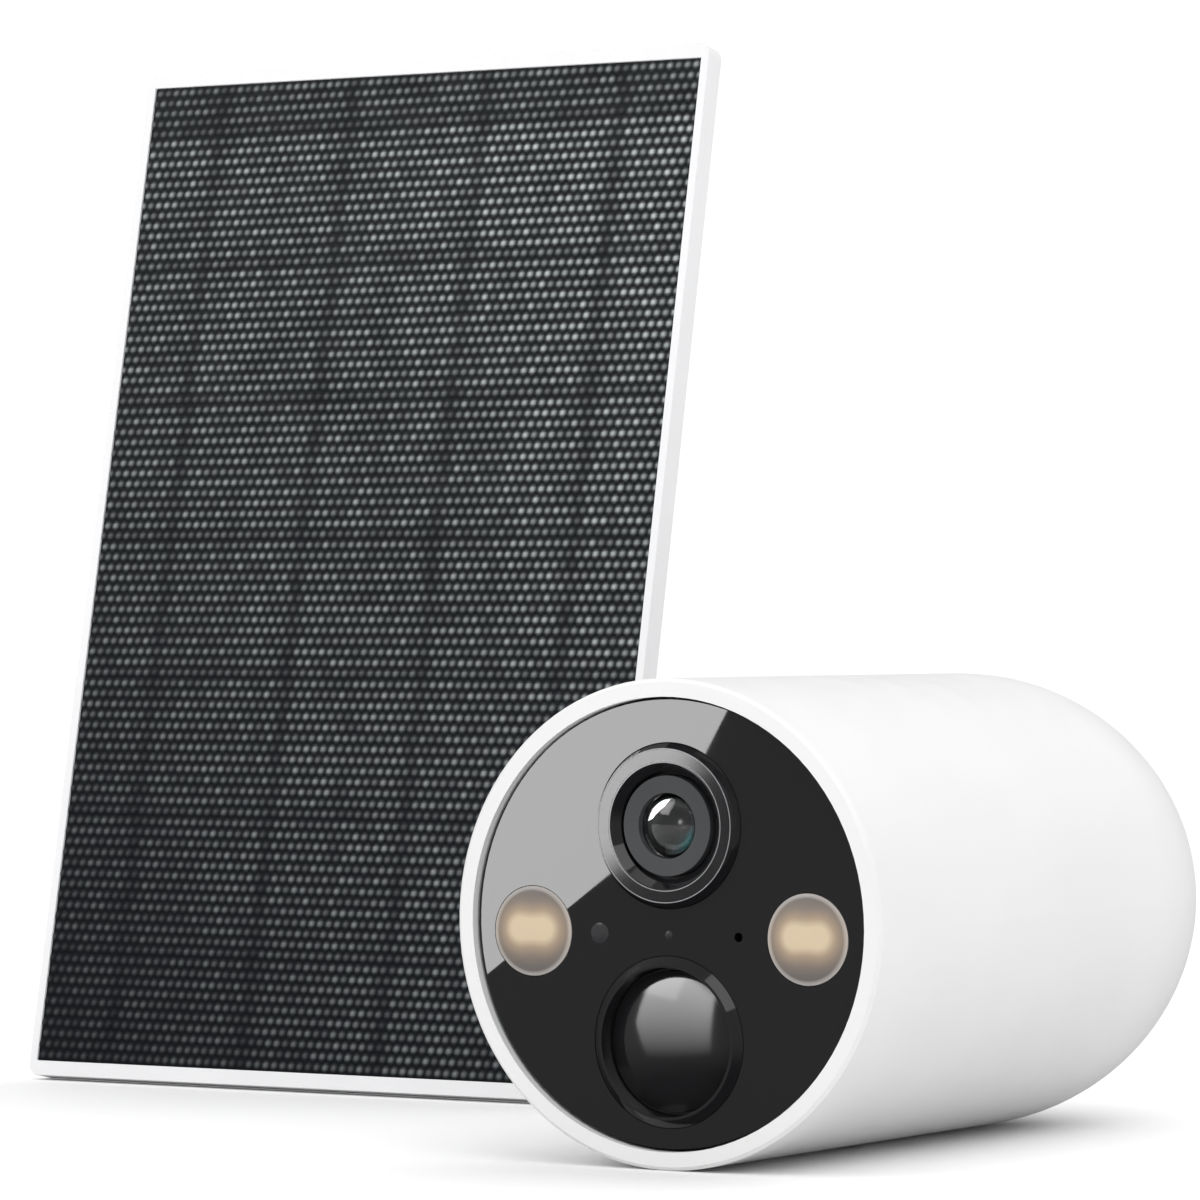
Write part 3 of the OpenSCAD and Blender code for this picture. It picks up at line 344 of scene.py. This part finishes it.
white = moulded_plastic("white_shell", (0.74, 0.74, 0.74), 0.42)
panel_white = moulded_plastic("panel_white", (0.74, 0.74, 0.75), 0.45)
black_plastic = moulded_plastic("black_plastic", (0.02, 0.02, 0.021), 0.5, spread=0.004)
grey_plastic = moulded_plastic("grey_plastic", (0.16, 0.16, 0.165), 0.5)
black_glass = gloss_plastic("black_glass", (0.006, 0.006, 0.007), 0.01, 0.015)
gloss_black = gloss_plastic("gloss_black", (0.008, 0.008, 0.009), 0.06, 0.03)
barrel_grey = moulded_plastic("anodised_grey", (0.055, 0.057, 0.06), 0.45)
steel = brushed_metal("steel", (0.55, 0.56, 0.58), 0.3)
brass = brushed_metal("nickel_plated_brass", (0.40, 0.38, 0.34), 0.35)
rubber = moulded_plastic("rubber", (0.03, 0.03, 0.032), 0.75, grain=1400.0, spread=0.006)
trim_gloss = gloss_plastic("trim_gloss", (0.25, 0.25, 0.26), 0.12)
lens_cell = cell_with_painted_reflection()
lens_core = lens_highlight()
pir_surface = gloss_plastic("pir_gloss", (0.010, 0.010, 0.011), 0.10, 0.05)
tiny_window = gloss_plastic("tiny_window", (0.03, 0.03, 0.032), 0.15)
lens_glass = clear_glass("clear_glass", (0.99, 1.0, 1.0))
inner_glass = clear_glass("inner_glass", (0.75, 0.95, 0.93), 520.0)
filter_glass = clear_glass("filter_glass", (0.5, 0.85, 0.85), 380.0)
window_frost = frosted_window()
battery_wrap = gloss_plastic("battery_wrap", (0.02, 0.12, 0.2), 0.25)
reflector_white = gloss_plastic("white_reflector", (0.85, 0.84, 0.82), 0.12)
light_chip = gloss_plastic("light_chip", (0.85, 0.62, 0.15), 0.3)
board = circuit_board()

finishes = {
    "camera_shell": white, "front_carrier": black_plastic, "carrier_seal": rubber,
    "carrier_screws": steel, "front_glass": black_glass, "lens_bezel": gloss_black,
    "lens_barrel": barrel_grey, "lens_front_element": lens_glass, "lens_rear_element": inner_glass,
    "lens_holder": black_plastic, "ir_cut_filter": filter_glass, "image_sensor": gloss_black,
    "sensor_board": board, "spotlight_window_left": window_frost,
    "spotlight_window_right": window_frost, "spotlight_reflectors": reflector_white,
    "spotlight_leds": light_chip, "spotlight_boards": barrel_grey, "pir_ring": gloss_black,
    "pir_lens": gloss_black, "pir_sensor": steel, "light_sensor_window": grey_plastic,
    "status_light_pipe": grey_plastic, "status_led": reflector_white, "microphone": steel,
    "front_board": board, "chassis": grey_plastic, "chassis_screws": steel, "main_board": board,
    "processor_shield": steel, "wifi_antenna": board, "battery_cells": battery_wrap,
    "speaker": black_plastic, "charge_socket": steel, "card_socket": steel,
    "tact_switches": black_plastic, "power_button": grey_plastic, "reset_button": grey_plastic,
    "port_cover": white, "port_seal": rubber, "port_hinge_pin": steel, "tripod_insert": brass,
    "panel_frame": panel_white, "panel_backing": black_plastic, "solar_cells": black_glass,
    "cell_ribbons": steel, "panel_film": gloss_black, "rear_housing": panel_white,
    "charge_board": board, "cable_gland": rubber, "panel_screws": steel,
    "tilt_lug": panel_white, "tilt_bolt": steel, "tilt_knob": grey_plastic,
    "tilt_washers": rubber, "bracket_arm": panel_white, "swivel_washer": rubber,
    "swivel_bolt": steel, "wall_plate": panel_white,
}

# How far each moulded part's sharp edges are rounded.
softened = {
    "wall_plate": 0.5 * MM, "tilt_lug": 0.35 * MM, "tilt_knob": 0.35 * MM,
    "rear_housing": 0.35 * MM, "panel_frame": 0.2 * MM,
}


def soften(node, width):
    """Rounds a moulded part's sharp edges a little."""
    weld = node.modifiers.new("weld", "WELD")
    weld.merge_threshold = 1e-6
    flatten = node.modifiers.new("flatten", "DECIMATE")
    flatten.decimate_type = "DISSOLVE"
    flatten.angle_limit = math.radians(0.5)
    bevel = node.modifiers.new("bevel", "BEVEL")
    bevel.width = width
    bevel.segments = 3
    bevel.limit_method = "ANGLE"
    bevel.angle_limit = math.radians(38)
    bevel.use_clamp_overlap = True
    node.modifiers.new("shading", "WEIGHTED_NORMAL").keep_sharp = False


def finish_cad_nodes():
    for name, surface in finishes.items():
        mesh = nodes[name].data
        mesh.materials.clear()
        mesh.materials.append(surface)
    for name, width in softened.items():
        soften(nodes[name], width)


# ---------- solar film ----------

DOTS_ACROSS = 65
DOT_ROWS = 93
DOT_SAMPLES = 5              # mesh steps across one dot
DOT_RISE = 0.20 * MM
DOT_REACH = (0.5, 0.42)      # half the width and height of a dot, in shares of its own cell
FILM_SINK = 0.12 * MM        # the sheet between the dots lies this far behind the CAD film's front
FILM_EDGE = 0.3 * MM         # how far back the sheet's edge reaches
CELL_COLUMNS = 4
CELL_ROWS = 6
RIBBON_SHADE = (0.6, 1.3 * MM)      # each shade is its depth and its width
ROW_GAP_SHADE = (0.5, 0.9 * MM)
MIDDLE_SHADE = (0.2, 1.2 * MM)
TOP_SHADE = (0.45, 0.8 * MM)        # above the cells
CELL_DRIFT = 0.07                   # how far one cell's grey differs from the next
DOT_DRIFT = (0.55, 1.35)            # range of one dot's brightness
# Painted light on the dots, rising from the lower left corner of the sheet.
PAINTED_LIGHT_LOW_LEFT = 0.07                    # brightness at the lower left corner of the sheet
PAINTED_LIGHT_CLIMB = 0.64                   # how much is gained up to the top
PAINTED_LIGHT_ACROSS = 0.38                  # and over to the right
DOT_SEED = 7


def film_directions():
    """Outward and upward over the leaning film's front."""
    sheet = nodes["panel_film"].data
    front = max((p for p in sheet.polygons if p.normal.y < 0), key=lambda p: p.area)
    out = front.normal.copy()
    return out, out.cross(Vector((1, 0, 0)))


def dimming(distance, shade):
    depth, width = shade
    return 1 - depth * np.exp(-(distance / width) ** 2)


def dot_pattern(across, along):
    """Heights of the pressed dots, 0 to 1, and the row and column of the dot at each point.

    The points are given as shares of the sheet's width and height."""
    row = np.floor(along * DOT_ROWS)
    column = across * DOTS_ACROSS + 0.5 * np.mod(row, 2)
    off_x = np.mod(column, 1) - 0.5
    off_y = np.mod(along * DOT_ROWS, 1) - 0.5
    reach = np.sqrt((off_x / DOT_REACH[0]) ** 2 + (off_y / DOT_REACH[1]) ** 2)
    dot = np.where(reach < 1, np.cos(math.pi / 2 * np.minimum(reach, 1)) ** 2, 0)
    return dot, row.astype(int), np.floor(column).astype(int)


def painted_dot_light(u, v, width, height, up):
    """How bright the painted highlights on the dots are: the cells under the film set the pattern, with
    their ribbons and gaps darker, and a painted light gradient brightens it towards the upper right.
    """
    cells_low, cells_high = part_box("solar_cells")
    film_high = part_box("panel_film")[1]
    column = (cells_high.x - cells_low.x) / CELL_COLUMNS
    row_step = (cells_high.z - cells_low.z) / up.z / CELL_ROWS
    below_top = height - (film_high.z - cells_high.z) / up.z - v
    from_middle = u - width / 2
    to_ribbon = np.abs(np.abs(from_middle) % column - column / 2)
    to_row = np.abs((below_top + row_step / 2) % row_step - row_step / 2)
    painted_light = dimming(to_ribbon, RIBBON_SHADE) * dimming(to_row, ROW_GAP_SHADE)
    painted_light = painted_light * dimming(from_middle, MIDDLE_SHADE)
    cell = 7 * np.floor(u / column) + 3 * np.floor(below_top / row_step)   # differs between neighbours
    painted_light = painted_light * (1 - CELL_DRIFT + CELL_DRIFT * np.sin(2.4 * cell))
    # Painted light: brighter towards the top and to the right of the sheet.
    painted_light = painted_light * (PAINTED_LIGHT_LOW_LEFT + PAINTED_LIGHT_CLIMB * v / height + PAINTED_LIGHT_ACROSS * u / width)
    return painted_light * (1 - TOP_SHADE[0] / (1 + np.exp(below_top / TOP_SHADE[1])))


def film_faces(rows, across, points):
    """Faces of the dotted sheet, of its turned-back edge and of its flat back.

    The edge's rear points follow the sheet's own points, in the order of rim."""
    grid = np.arange(across * rows).reshape(rows, across)
    quads = np.stack([grid[:-1, :-1], grid[:-1, 1:], grid[1:, 1:], grid[1:, :-1]], -1).reshape(-1, 4)
    rim = np.concatenate([grid[0, :-1], grid[:-1, -1], grid[-1, :0:-1], grid[:0:-1, 0]])
    first = len(points)
    count = len(rim)
    faces = quads.tolist()
    for i in range(count):
        j = (i + 1) % count
        faces.append((int(rim[j]), int(rim[i]), first + i, first + j))
    faces.append(tuple(range(first + count - 1, first - 1, -1)))
    return faces, rim


def add_film():
    """The panel's front sheet, pressed into staggered rows of small lens-shaped dots, each with a
    painted highlight.
    """
    sheet = nodes["panel_film"].data
    out, up = film_directions()
    low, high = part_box("panel_film")
    front = max(out.dot(v.co) for v in sheet.vertices)
    bottom = min(up.dot(v.co) for v in sheet.vertices)
    height = max(up.dot(v.co) for v in sheet.vertices) - bottom
    width = high.x - low.x
    across = DOTS_ACROSS * DOT_SAMPLES + 1
    rows = DOT_ROWS * DOT_SAMPLES + 1
    u, v = np.meshgrid(np.linspace(0, width, across), np.linspace(0, height, rows))
    dot, dot_row, dot_column = dot_pattern(u / width, v / height)
    spread = np.random.default_rng(DOT_SEED).uniform(*DOT_DRIFT, (DOT_ROWS + 1, DOTS_ACROSS + 2))
    painted_light = painted_dot_light(u, v, width, height, up) * spread[dot_row, dot_column]

    relief = front - FILM_SINK + DOT_RISE * dot
    points = np.outer((bottom + v).ravel(), up) + np.outer(relief.ravel(), out)
    points[:, 0] += low.x + u.ravel()
    faces, rim = film_faces(rows, across, points)
    behind = points[rim] - FILM_EDGE * np.array(out)
    mesh = bpy.data.meshes.new("film_dots")
    mesh.from_pydata(np.concatenate([points, behind]).tolist(), [], faces)
    piece = place("film_dots", mesh, film_surface(), "panel", ["panel_film"])
    # Painted highlight: brightest on each dot's top, dimmer over the cells' ribbons and gaps.
    shade = piece.data.attributes.new("shade", "FLOAT", "POINT")
    values = np.concatenate([(dot * painted_light).ravel(), np.zeros(len(rim))])
    shade.data.foreach_set("value", values.astype(np.float32))
    smooth(piece, 60)


# ---------- lens ----------

BEZEL_LINES = {"bezel_outer_line": 0.925, "bezel_inner_line": 0.785}    # shares of the bezel's radius
LINE_RADIUS = 0.07 * MM
LINE_SINK = 0.03 * MM        # the middle of a line lies this far behind the bezel's front
LINE_SWEEP = 0.4             # radians by which a line's round top goes past a half circle
LENS_SAG = 1.4 * MM
LENS_SKIN = 0.6 * MM
INNER_FLATTER = 0.2 * MM     # the glass's inner face is this much flatter than its outer one
CELL_GAP = 0.35 * MM         # between the cell and the edge of the lens
CELL_FRONT = 0.5 * MM        # the cell starts this far behind the lens's edge
CELL_THROAT = 1.2 * MM       # and narrows to its bowl by this far
BOWL_START = 1.3 * MM
BOWL_SWEEP = 1.15            # radians
BOWL_SHARE = 0.60            # the bowl's mouth, as a share of the lens's radius
CELL_BACK = 0.6 * MM         # the bowl's floor lies this far behind the CAD lens
CELL_FLOOR = 0.3 * MM
STOP_LAP = 0.05 * MM         # the innermost glass laps the bowl's hole by this much
STOP_RISE = 0.9 * MM         # and reaches this far in front of the bowl's floor
STOP_SAG = 0.5 * MM


def add_bezel_lines(centre):
    """Fine raised rings on the bezel."""
    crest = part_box("lens_bezel")[0].y
    for name, share in BEZEL_LINES.items():
        radius = half_width("lens_bezel") * share
        line = [(radius + LINE_RADIUS * math.cos(a), crest + LINE_SINK - LINE_RADIUS * math.sin(a))
                for a in np.linspace(-LINE_SWEEP, math.pi + LINE_SWEEP, 9)]
        turned_piece(name, line, centre, trim_gloss)


def add_lens_details():
    """Rings on the bezel, the domed front glass, and the blackened cell inside the lens."""
    centre = middle("lens_bezel")
    add_bezel_lines(centre)
    low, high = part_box("lens_front_element")
    radius = half_width("lens_front_element")
    edge = low.y + LENS_SAG
    outer = dome_arc(radius, low.y, LENS_SAG)
    inner = dome_arc(radius - LENS_SKIN, low.y + LENS_SKIN, LENS_SAG - INNER_FLATTER)
    turned_piece("lens_front_dome", outer + list(reversed(inner)), centre, lens_glass, 96,
                 ["lens_front_element"])

    wall = radius - CELL_GAP
    mouth = BOWL_SHARE * radius
    floor_y = high.y + CELL_BACK
    depth = floor_y - edge - BOWL_START
    bowl = [(mouth * math.cos(a), edge + BOWL_START + depth * math.sin(a))
            for a in np.linspace(0, BOWL_SWEEP, 12)]
    hole = bowl[-1][0]
    back = floor_y + CELL_FLOOR
    cell = [(wall, edge + CELL_FRONT), (mouth, edge + CELL_THROAT)] + bowl + [(hole, back), (wall, back)]
    turned_piece("lens_cell", cell, centre, lens_cell, 96)
    iris = hole + STOP_LAP
    stop = dome_arc(iris, floor_y - STOP_RISE, STOP_SAG, 8) + [(iris, floor_y), (0, floor_y)]
    turned_piece("lens_inner_dome", stop, centre, lens_core, 64)


# ---------- motion sensor and the small windows ----------

PIR_LIP = 2.0 * MM           # the motion sensor's ring reaches this far in over its dome
PIR_WALL = 1.0 * MM
PIR_SAG = 2.0 * MM
PIR_FLANGE = 0.8 * MM
PIR_INNER_FLATTER = 0.4 * MM


def add_pir_dome():
    low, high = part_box("pir_lens")
    radius = half_width("pir_ring") - PIR_LIP
    flange = half_width("pir_lens")
    step_y = high.y - PIR_FLANGE
    inner = dome_arc(radius - PIR_WALL, low.y + PIR_WALL, PIR_SAG - PIR_INNER_FLATTER)
    profile = dome_arc(radius, low.y, PIR_SAG)
    profile += [(radius, step_y), (flange, step_y), (flange, high.y), (radius - PIR_WALL, high.y)]
    profile += list(reversed(inner))
    turned_piece("pir_dome", profile, middle("pir_lens"), pir_surface, 128, ["pir_lens"])


def add_windows():
    domed_piece("spot_dome_left", "spotlight_window_left", window_frost)
    domed_piece("spot_dome_right", "spotlight_window_right", window_frost)
    domed_piece("light_sensor_dome", "light_sensor_window", tiny_window)
    domed_piece("status_light_dome", "status_light_pipe", tiny_window)


# ---------- camera and floor ----------

VIEW_AZIMUTH = math.radians(31.5)   # the viewer stands to the right of straight ahead
VIEW_LIFT = math.radians(0.17)      # the view tips up by this much
VIEW_DISTANCE = 0.86
VIEW_TARGET = Vector((0.0330, -0.0410, 0.0778))
LENS_LENGTH = 177.8                 # millimetres, on a sensor 36 wide
FLOOR_REACH = 6.0
FLOOR_DROP = 0.00002                # keeps the floor just clear of what stands on it


def add_camera():
    data = bpy.data.cameras.new("view")
    data.lens = LENS_LENGTH
    data.sensor_width = 36
    data.clip_start = 0.05
    data.clip_end = 50
    camera = add_object("view", data)
    towards = Vector((-math.sin(VIEW_AZIMUTH) * math.cos(VIEW_LIFT),
                      math.cos(VIEW_AZIMUTH) * math.cos(VIEW_LIFT),
                      math.sin(VIEW_LIFT)))
    camera.location = VIEW_TARGET - towards * VIEW_DISTANCE
    camera.rotation_euler = towards.to_track_quat("-Z", "Y").to_euler()
    bpy.context.scene.camera = camera


def add_floor():
    mesh = bpy.data.meshes.new("floor")
    corners = [(x * FLOOR_REACH, y * FLOOR_REACH, 0) for x, y in ((-1, -1), (1, -1), (1, 1), (-1, 1))]
    mesh.from_pydata(corners, [], [(0, 1, 2, 3)])
    floor = add_object("floor", mesh)
    floor.location.z = -FLOOR_DROP
    surface, tree, _ = principled("studio_floor", (0.93, 0.93, 0.93), 0.7)
    ramp(tree, add_noise(tree, 12.0, 2), 0.92, 0.94, "Base Color")
    floor.data.materials.append(surface)
    floor.visible_glossy = False


# ---------- studio light ----------

SKY_LIGHT = 0.86             # what lights matt surfaces
BACKDROP_LIGHT = 1.05        # what the camera sees behind the object
ROOM_LIGHT = 0.38            # what glossy surfaces mirror, above the horizon
FLOOR_LIGHT = 0.05           # and below it
HORIZON = (-0.40, -0.08)     # heights of direction between which one fades into the other
CARD_DISTANCE = 0.4          # of the sensor's and the lens's cards


def add_world():
    """A white backdrop, an even sky for diffuse light, and a dimmer room for the reflections."""
    world = bpy.data.worlds.new("studio")
    bpy.context.scene.world = world
    world.use_nodes = True
    tree = world.node_tree
    tree.nodes.clear()
    out = new_node(tree, "OutputWorld")
    path = new_node(tree, "LightPath")
    white_light = (1, 1, 1, 1)
    room = new_node(tree, "Background", Color=white_light)
    sky = new_node(tree, "Background", Color=white_light, Strength=SKY_LIGHT)
    backdrop = new_node(tree, "Background", Color=white_light, Strength=BACKDROP_LIGHT)
    coords = new_node(tree, "TexCoord")
    split = new_node(tree, "SeparateXYZ")
    horizon = new_node(tree, "MapRange", From_Min=HORIZON[0], From_Max=HORIZON[1],
                       To_Min=FLOOR_LIGHT, To_Max=ROOM_LIGHT)
    glossy = new_node(tree, "MixShader")
    seen = new_node(tree, "MixShader")
    tree.links.new(coords.outputs["Generated"], split.inputs["Vector"])
    tree.links.new(split.outputs["Z"], horizon.inputs["Value"])
    tree.links.new(horizon.outputs["Result"], room.inputs["Strength"])
    tree.links.new(path.outputs["Is Glossy Ray"], glossy.inputs["Fac"])
    tree.links.new(sky.outputs["Background"], glossy.inputs[1])
    tree.links.new(room.outputs["Background"], glossy.inputs[2])
    tree.links.new(path.outputs["Is Camera Ray"], seen.inputs["Fac"])
    tree.links.new(glossy.outputs["Shader"], seen.inputs[1])
    tree.links.new(backdrop.outputs["Background"], seen.inputs[2])
    tree.links.new(seen.outputs["Shader"], out.inputs["Surface"])


def add_sun(name, tilt, turn, spread, strength):
    data = bpy.data.lights.new(name, "SUN")
    data.energy = strength
    data.angle = math.radians(spread)
    light = add_object(name, data)
    light.rotation_euler = (math.radians(tilt), 0, math.radians(turn))


def add_softbox(name, position, aim, size, power):
    data = bpy.data.lights.new(name, "AREA")
    data.shape = "RECTANGLE"
    data.size = size
    data.size_y = size
    data.energy = power
    light = add_object(name, data)
    light.location = position
    light.rotation_euler = (Vector(aim) - Vector(position)).to_track_quat("-Z", "Y").to_euler()


def light_only(light, names):
    """Keeps a light to the named pieces, as a flag does in a studio."""
    lit = bpy.data.collections.new(light.name + "_lights")
    for name in names:
        lit.objects.link(bpy.data.objects[name])
    light.light_linking.receiver_collection = lit


def card_glow(name, strong, weak):
    """Light that adds to what lies behind it, strong at the card's top and weak at its foot."""
    glow = bpy.data.materials.new(name)
    glow.use_nodes = True
    tree = glow.node_tree
    tree.nodes.clear()
    coords = new_node(tree, "TexCoord")
    split = new_node(tree, "SeparateXYZ")
    fade = new_node(tree, "MapRange", To_Min=weak, To_Max=strong)
    above = new_node(tree, "Math")
    above.operation = "MAXIMUM"
    above.inputs[1].default_value = 0.0
    emission = new_node(tree, "Emission")
    clear = new_node(tree, "BsdfTransparent")
    both = new_node(tree, "AddShader")
    out = new_node(tree, "OutputMaterial")
    tree.links.new(coords.outputs["Generated"], split.inputs["Vector"])
    tree.links.new(split.outputs["Z"], fade.inputs["Value"])
    tree.links.new(fade.outputs["Result"], above.inputs[0])
    tree.links.new(above.outputs["Value"], emission.inputs["Strength"])
    tree.links.new(clear.outputs["BSDF"], both.inputs[0])
    tree.links.new(emission.outputs["Emission"], both.inputs[1])
    tree.links.new(both.outputs["Shader"], out.inputs["Surface"])
    glow.cycles.emission_sampling = "NONE"
    return glow


def add_card(name, corners, strong, weak, receivers):
    """A glowing card that only the named pieces reflect."""
    mesh = bpy.data.meshes.new(name)
    mesh.from_pydata([tuple(c) for c in corners], [], [tuple(range(len(corners)))])
    card = add_object(name, mesh)
    card.data.materials.append(card_glow(name + "_glow", strong, weak))
    card.visible_camera = False
    card.visible_diffuse = False
    card.visible_transmission = False
    card.visible_shadow = False
    light_only(card, receivers)


def add_face_card(receivers):
    """Softbox mirrored in the flat glass: its corner hides behind the lens, and from there one edge
    climbs to the upper right of the face and the other drops to the lower left."""
    climb = math.radians(30.4)
    climb_length = 0.16
    drop = math.radians(35.8)
    drop_length = 0.25
    reach = 1.4               # its distance from the camera's mirror image, over the glass's distance
    lens = middle("lens_bezel")
    glass_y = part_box("front_glass")[0].y
    mirrored_eye = bpy.context.scene.camera.location.copy()
    mirrored_eye.y = 2 * glass_y - mirrored_eye.y
    corner = Vector((lens.x, glass_y, lens.z))
    top = corner + climb_length * Vector((math.sin(climb), 0, math.cos(climb)))
    low = corner - drop_length * Vector((math.cos(drop), 0, math.sin(drop)))
    outline = [corner, top, Vector((low.x, glass_y, top.z)), low]
    corners = [mirrored_eye + (point - mirrored_eye) * reach for point in outline]
    add_card("face_card", corners, strong=10.5, weak=9.0, receivers=receivers)


def direction(azimuth, elevation):
    """Away from the face: azimuth turns from straight ahead to the left."""
    a, e = math.radians(azimuth), math.radians(elevation)
    return Vector((-math.sin(a) * math.cos(e), -math.cos(a) * math.cos(e), math.sin(e)))


def flat_card(centre, distance, outline):
    """Corners of a flat card that spans the given directions as seen from centre."""
    rays = [direction(a, e) for a, e in outline]
    facing = sum(rays, Vector()).normalized()
    return [centre + ray * distance / ray.dot(facing) for ray in rays]


def add_sensor_card(receivers):
    """Tall softbox with a pointed foot, mirrored in the motion sensor's dome. Its glow fades out above
    the foot, where the weak end's negative strength would make it less than nothing."""
    outline = ((52, 34), (28, 38), (-2, 27), (-1, -17), (35, -30), (56, 5))
    corners = flat_card(middle("pir_ring"), CARD_DISTANCE, outline)
    add_card("sensor_card", corners, strong=11, weak=-5, receivers=receivers)


def add_lens_card(receivers):
    """Small strong softbox above and to the left, mirrored as a crescent in the lens."""
    outline = ((100, -4), (88, 46), (30, 62), (44, 30), (64, 8))
    corners = flat_card(middle("lens_bezel"), CARD_DISTANCE, outline)
    add_card("lens_card", corners, strong=30, weak=18, receivers=receivers)


def add_lights():
    add_sun("overhead", tilt=24, turn=150, spread=80, strength=1.05)
    add_softbox("right", (0.75, -0.75, 0.95), aim=(0.07, 0.0, 0.04), size=0.8, power=3.4)
    add_softbox("left", (-0.7, -0.9, 0.8), aim=(-0.03, 0, 0.08), size=0.7, power=4)
    add_face_card(["front_glass", "lens_bezel", "bezel_outer_line", "bezel_inner_line"])
    add_sensor_card(["pir_dome"])
    add_lens_card(["lens_front_dome"])


add_camera()
add_world()
add_floor()
finish_cad_nodes()
add_film()
add_lens_details()
add_pir_dome()
add_windows()
add_lights()

bpy.context.scene.view_settings.view_transform = "Standard"
bpy.context.scene.view_settings.look = "None"
